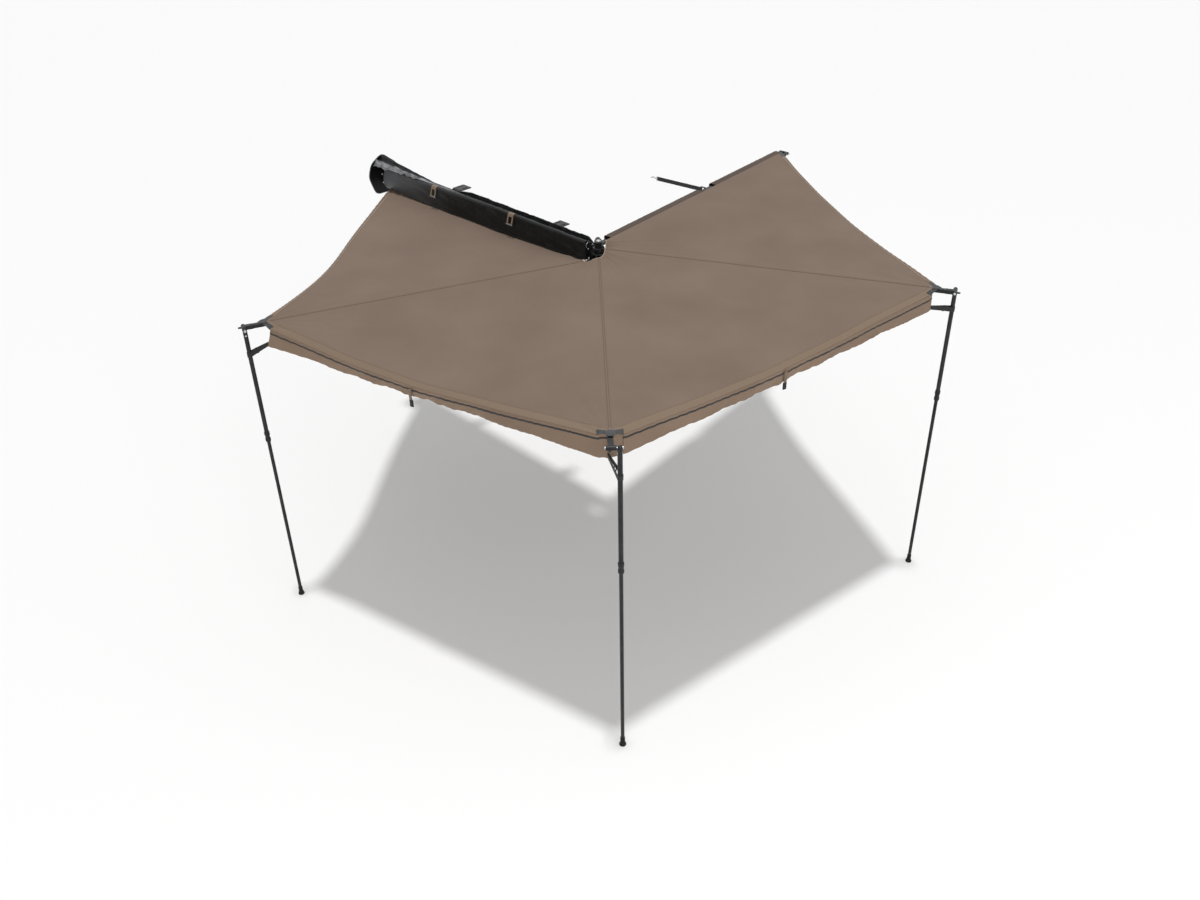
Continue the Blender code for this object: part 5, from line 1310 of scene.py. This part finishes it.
def build_cover():
    """Cover, hood, their bindings, the hinge bead, the closed rear end and the bar's soft back rim."""
    grid, uv = cover_grid()
    form = sheet_form(grid + HUB, grid - normals(grid) * COVER_SHEET + HUB)
    cover = made("bag_cover_skin", form, "pvc", body="cover", uv=uv, replaces=("bag_cover",), crease=60)
    hood, hood_uv = hood_grid()
    form = sheet_form(hood + HUB, hood - normals(hood) * HOOD_SHEET + HUB)
    loose = made("bag_hood", form, "hood", body="cover", uv=hood_uv, crease=60)
    cord("cover_bead", joined(np.linspace(*COVER_SPAN, 30), *COVER_PIVOT), 0.0029, "pvc", sides=12)
    bound = cord("cover_binding", resampled(grid[:, -1] + (0, 0, 0.0014), 260), BINDING_RADIUS, "pvc")
    end = cord("cover_end_binding", grid[-1, SLOPE_POINTS + CORNER_POINTS - 1:], BINDING_RADIUS, "pvc",
               up=(1, 0, 0))
    fold = 0.5 * (grid[:, SLOPE_POINTS - 1] + grid[:, SLOPE_POINTS]) + (0, 0, 0.0004)
    piping = cord("cover_piping", resampled(fold, 200), 0.0016, "pvc")
    row, column = HOOD_CREASE
    # Painted highlight: the pale grey cords along the hood's edge and crease stand for its lit wrinkled edge
    trims = [cord("hood_" + label, resampled(line + (0, 0.0004, 0.0006), 160), size, "binding")
             for label, line, size in (("edge", hood[:, -1], 0.0022), ("crease", hood[row:, column], 0.0026))]
    build_rear_end(grid[0])
    build_back_rim()


def build_rear_end(outline):
    """Closed rear end of the bag: lines from the cover's end to its foot, slightly domed, with
    piping round its edge, a stiffening wire and three studs."""
    share = np.linspace(0, 1, 16)[:, None]
    turn = np.linspace(0, 1, len(outline))
    foot, far = np.array(REAR_WALL_FOOT)
    flat = (1 - share)[..., None] * outline[:, 1:] + share[..., None] * (foot + turn[:, None] * (far - foot))
    dome = COVER_SPAN[0] - WALL_THICK * np.sin(math.pi * share)
    wall = joined(dome, flat[..., 0], flat[..., 1])
    form = sheet_form(wall + HUB, wall + (WALL_THICK, 0, 0) + HUB)
    made("bag_rear_end", form, "liner", body="cover", uv=flat, crease=60)
    cord("rear_end_piping", outline, 0.0022, "pvc", up=(1, 0, 0))
    row, first, last = WIRE_LINE
    wire = resampled(wall[row, first:last] - (0.0016, 0, 0), 60)
    cord("rear_end_wire", wire, 0.0014, "steel", up=(1, 0, 0))
    heads("rear_end_stud", STUD_HEAD, COVER_SPAN[0] - 0.0012, REAR_STUDS, "cover")


def build_back_rim():
    """Soft rim that stands on the bar's back behind the cover: it fades out towards the front end,
    leans and wrinkles, and its top is rolled over."""
    x = np.linspace(*BACK_RIM_X, 240)[:, None]
    foot, crown = BACK_RIM_Z
    high = smoother((x - 0.095) / 0.085) * (1 - smoother((x - 1.16) / 0.31))
    top = foot + (crown - foot) * (0.04 + 0.96 * high)
    top = top + 0.0016 * high * waves(x, 0 * x, 0.16, 81) + 0.0006 * high * waves(x, 0 * x, 0.045, 82)
    up = np.linspace(0, 1, 14)
    roll = arc((RIM_ROLL, 0.0), RIM_ROLL, 180, -20, 10)
    y = np.concatenate([0 * up, roll[:, 0]]) + BACK_RIM_Y
    z = np.concatenate([foot + (top - foot) * up, top + roll[:, 1]], axis=1)
    grid = joined(x, y, z)
    share = np.concatenate([up, np.ones(len(roll))])
    grid[..., 1] += share * high * (0.0016 * waves(x, 2.0 * z, 0.070, 83) + 0.0007 * waves(x, z, 0.026, 84))
    form = sheet_form(grid[::-1] + HUB, (grid - normals(grid) * 0.0012)[::-1] + HUB)
    rim = made("bar_back_rim", form, "rim", uv=joined(z, x)[::-1], crease=60)
    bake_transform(rim)


def build_end_panel():
    """Oval end of the bag: a stiffened disc, slightly domed, bound with piping and riveted. Rings
    shrink from the outline to its middle, and one face closes each side there."""
    corners = np.array(END_PANEL_CORNERS)
    outline = eased(np.concatenate([corners[-1:], corners, corners[:1]]), END_PANEL_EASE, 12)[1:-1]
    middle = corners.mean(axis=0)
    outline = (resampled(outline, END_PANEL_SIDES, True) - middle) * END_PANEL_INSET
    share = np.linspace(1, 0.02, 18)[:, None]
    y, z = (middle + outline * share[..., None]).transpose(2, 0, 1)
    wave = 0.0004 * waves(outline[:, 0] * share, outline[:, 1] * share, 0.05, 31)
    rear, front = [joined(x + wave * 0.5 * (1 - share ** 4), y, z) for x in END_PANEL_X]
    points, faces = sheet_form(front + HUB, rear + HUB, True)
    count = len(points) // 2
    last = count - END_PANEL_SIDES
    faces = [face for face in faces if not (min(face) % count >= last and max(face) >= count)]
    faces += [list(range(last, count)), list(range(2 * count - 1, count + last - 1, -1))]
    made("bag_end_skin", (points, faces), "liner", body="root", replaces=("bag_end_panel",), crease=60)
    rim = joined(sum(END_PANEL_X) / 2, *(middle + outline).T)
    cord("bag_end_piping", rim, 0.0026, "binding", "root", 12, (1, 0, 0), True)
    heads("bag_end_rivet", RIVET_HEAD, END_PANEL_X[0], END_RIVETS, "root")


def bag_strap(label):
    """Wide webbing that lies over the cover's corner and then leans out, open in its middle, with
    the bar of its buckle in its end."""
    lean = math.radians(STRAP_LEAN)
    bend = arc(COVER_CENTRE, COVER_CORNER + 0.0003, 90 + math.degrees(COVER_SLOPE), STRAP_LEAN, 16)
    run = np.array([*np.linspace(STRAP_HEAD, STRAP_LENGTH - STRAP_HEM, 20), STRAP_LENGTH - STRAP_HEM / 2,
                    STRAP_LENGTH])[:, None]
    line = np.concatenate([bend, bend[-1] + run * (math.sin(lean), -math.cos(lean))])
    step = np.gradient(line, axis=0)
    side = np.stack([-step[:, 1], step[:, 0]], axis=-1) / np.linalg.norm(step, axis=1, keepdims=True)
    half = STRAP_WIDTH / 2
    rim, border = half - 0.004, half - STRAP_BORDER
    x = np.array([-half, -rim, -border, border, rim, half])[:, None]
    line = line - (0, lip_sag(STRAP_X[label]))
    outer, inner = [joined(STRAP_X[label] + x, *(line + side * lift).T) for lift in (WEBBING, 0.0)]
    length = travelled(line)
    solid = np.ones((len(x) - 1, len(line) - 1), bool)
    solid[2, len(bend):-2] = False
    form = sheet_form(outer[::-1] + HUB, inner[::-1] + HUB, solid=solid[::-1])
    made("bag_webbing_" + label, form, "taupe_webbing", body="cover", uv=joined(x, length)[::-1],
         replaces=("bag_strap_" + label,), crease=60)
    reach = half + BUCKLE_BAR
    bar = joined(STRAP_X[label] + np.linspace(-reach, reach, 24), *(line[-1] + side[-1] * WEBBING / 2))
    cord("bag_buckle_" + label, bar, BUCKLE_BAR, "buckle", sides=12)


# Tie

def build_tie():
    """Webbing of the tie strap: doubled, with a sewn end round the pin."""
    y = np.linspace(0.0040, TIE_LENGTH, 120)[None]
    z = np.linspace(-LOOP_WIDTH / 2, LOOP_WIDTH / 2, 9)[:, None]
    sag = 0.0004 * np.sin(2 * math.pi * y / 0.09)
    front, rear = [joined(TIE_RADIUS + lift + sag, TIE_PIN + y, z) for lift in (0.0012, -0.0012)]
    made("tie_webbing", sheet_form(in_rafter("d", rear), in_rafter("d", front)), "webbing", body="tie",
         uv=joined(z, y), replaces=("tie_strap",))
    x, y = arc((TIE_RADIUS, TIE_PIN), 0.0045, -250, 70, 30).T
    band = rounded_rectangle(0.0020, LOOP_WIDTH, 0.0008, 3)
    made("tie_eye", swept_form(in_rafter("d", joined(x, y, 0)), band), "webbing", body="tie",
         uv=np.repeat(joined(0, np.linspace(0, 0.03, 30)), len(band), axis=0))


# Studio

def build_stage():
    """Pale floor under the feet, which keeps the shadow and glows a little to the camera."""
    low = FLOOR - 0.0005
    corners = [(-FLOOR_HALF, -FLOOR_HALF), (FLOOR_HALF, -FLOOR_HALF), (FLOOR_HALF, FLOOR_HALF),
               (-FLOOR_HALF, FLOOR_HALF)]
    mesh = bpy.data.meshes.new("floor")
    mesh.from_pydata([(x, y, low) for x, y in corners], [], [(0, 1, 2, 3)])
    floor = placed("floor", mesh)
    material, tree, shader = started("pale_floor", 0.9)
    shader.inputs["Base Color"].default_value = linear("#f2f2f2")
    ray = add(tree, "LightPath").outputs["Is Camera Ray"]
    glow = add(tree, "Emission", {"Color": linear("#ffffff"), "Strength": 1.0})
    share = add(tree, "Math", {0: ray, 1: FLOOR_GLOW}, operation="MULTIPLY").outputs[0]
    mix = add(tree, "MixShader", {0: share, 1: shader.outputs[0], 2: glow.outputs[0]})
    tree.links.new(mix.outputs[0], tree.nodes["Material Output"].inputs[0])
    mesh.materials.append(material)


def build_world():
    """White surround: plain for what the camera, reflections and refractions see, dimmer as light."""
    world = bpy.data.worlds.new("studio")
    world.use_nodes = True
    tree = world.node_tree
    sky = tree.nodes["Background"]
    sky.inputs["Color"].default_value = linear("#ffffff")
    sky.inputs["Strength"].default_value = SKY_STRENGTH
    seen = add(tree, "Background", {"Color": linear("#ffffff"), "Strength": 1.0})
    ray = add(tree, "LightPath")
    share = ray.outputs["Is Camera Ray"]
    for kind in ("Is Glossy Ray", "Is Transmission Ray"):
        share = add(tree, "Math", {0: share, 1: ray.outputs[kind]}, operation="MAXIMUM").outputs[0]
    mix = add(tree, "MixShader", {0: share, 1: sky.outputs[0], 2: seen.outputs[0]})
    tree.links.new(mix.outputs[0], tree.nodes["World Output"].inputs[0])
    bpy.context.scene.world = world


def build_lights():
    """A lamp straight above, whose shadow is slightly soft, and a wide soft one by the camera."""
    sun = bpy.data.lights.new("overhead", "SUN")
    sun.energy, sun.angle = SUN_ENERGY, SUN_ANGLE
    fill = bpy.data.lights.new("fill", "AREA")
    fill.energy, fill.size = FILL_ENERGY, FILL_SIZE
    for lamp, place, aim in ((sun, (0, 0, 6), (0, 0, -1)), (fill, (-6.5, 3.0, 3.5), (1.0, -0.45, -0.5))):
        holder = placed(lamp.name, lamp)
        holder.location = place
        holder.rotation_mode = "QUATERNION"
        holder.rotation_quaternion = Vector(aim).to_track_quat("-Z", "Y")


def build_camera():
    """Camera at the photograph's place, turned by its yaw, pitch and roll."""
    yaw, pitch, roll = (math.radians(a) for a in (YAW, PITCH, ROLL))
    ahead = np.array([math.cos(yaw) * math.cos(pitch), math.sin(yaw) * math.cos(pitch), -math.sin(pitch)])
    right = np.array([math.sin(yaw), -math.cos(yaw), 0.0])
    up = np.cross(right, ahead)
    turned_right = math.cos(roll) * right + math.sin(roll) * up
    turned_up = math.cos(roll) * up - math.sin(roll) * right
    data = bpy.data.cameras.new("camera")
    data.sensor_width = SENSOR
    data.lens = SENSOR * FOCAL_PIXELS / IMAGE_WIDTH
    camera = placed("camera", data)
    matrix = np.eye(4)
    matrix[:3, 0], matrix[:3, 1], matrix[:3, 2], matrix[:3, 3] = turned_right, turned_up, -ahead, EYE
    camera.matrix_world = Matrix(matrix.tolist())
    bpy.context.scene.camera = camera
    bpy.context.scene.view_settings.view_transform = "Standard"


def of_each(kind):
    """Nodes of one kind, one for each rafter."""
    return [kind + "_" + name for name in RAFTERS]


def build_hard_pieces():
    """Every hard piece whose shape the frame already has, with broken edges and its finish."""
    plain = {"coated_alloy": ("backing_bar", *of_each("rafter"), *of_each("hub_knuckle")),
             "powder_coat": ("rear_bracket", "front_bracket", "hub_bracket", "tie_bracket"),
             "nylon": ("bar_end_cap", *of_each("tip_knuckle")),
             "steel": ("rear_bracket_studs", "front_bracket_studs", "hub_bolt_1", "hub_bolt_2", "hub_bolt_3",
                       "hub_pin", "tie_hook", *of_each("pivot_bolt"))}
    for finish, nodes in plain.items():
        for node in nodes:
            refined(node, finish, 0.0004 if finish == "steel" else 0.0007)


def build_spacers():
    """Plastic washers that keep the rafters' knuckles apart on the pin, with their outer edges cut."""
    cut = 0.0008
    for number, (height, radius) in enumerate(HUB_SPACERS, 1):
        low, high = height - SPACER_HALF, height + SPACER_HALF
        outline = [(SPACER_BORE, high), (radius - cut, high), (radius, high - cut), (radius, low + cut),
                   (radius - cut, low), (SPACER_BORE, low)]
        points, faces = turned_form(outline, 64)
        made("hub_spacer_%d" % number, (points + HUB, faces), "nylon", body="root")


def build_canopy():
    """Panels with their hems, cords, trims and patches, the seams, valances, tabs and the sleeve."""
    for index, label in enumerate(("bar_a", "a_b", "b_c", "c_d")):
        sewn = [hem_strip(index, label), hub_trim(index, label), corner_patch(index, -1, label + "_end")]
        if index:
            sewn.append(corner_patch(index, 1, label + "_start"))
        if not BAND_DROP[index]:
            sewn.append(hem_cord(index, label))
        build_panel(index, "panel_" + label)
    for name in "abc":
        seam_strip(name)
        corner_tab(name)
    sides = ((1, "a_b"), (2, "b_c"))
    for index, label in sides:
        build_valance(index, "valance_" + label)
    for index, label in sides:
        toggle(index, TOGGLE_AT[index], label)
    build_sleeve()


build_camera()
build_hard_pieces()
build_spacers()
build_canopy()
for leg in RAFTERS:
    build_leg(leg)
for standing in "abc":
    leg_strap(standing)
build_cover()
build_end_panel()
for place in STRAP_X:
    bag_strap(place)
build_tie()
build_stage()
build_world()
build_lights()
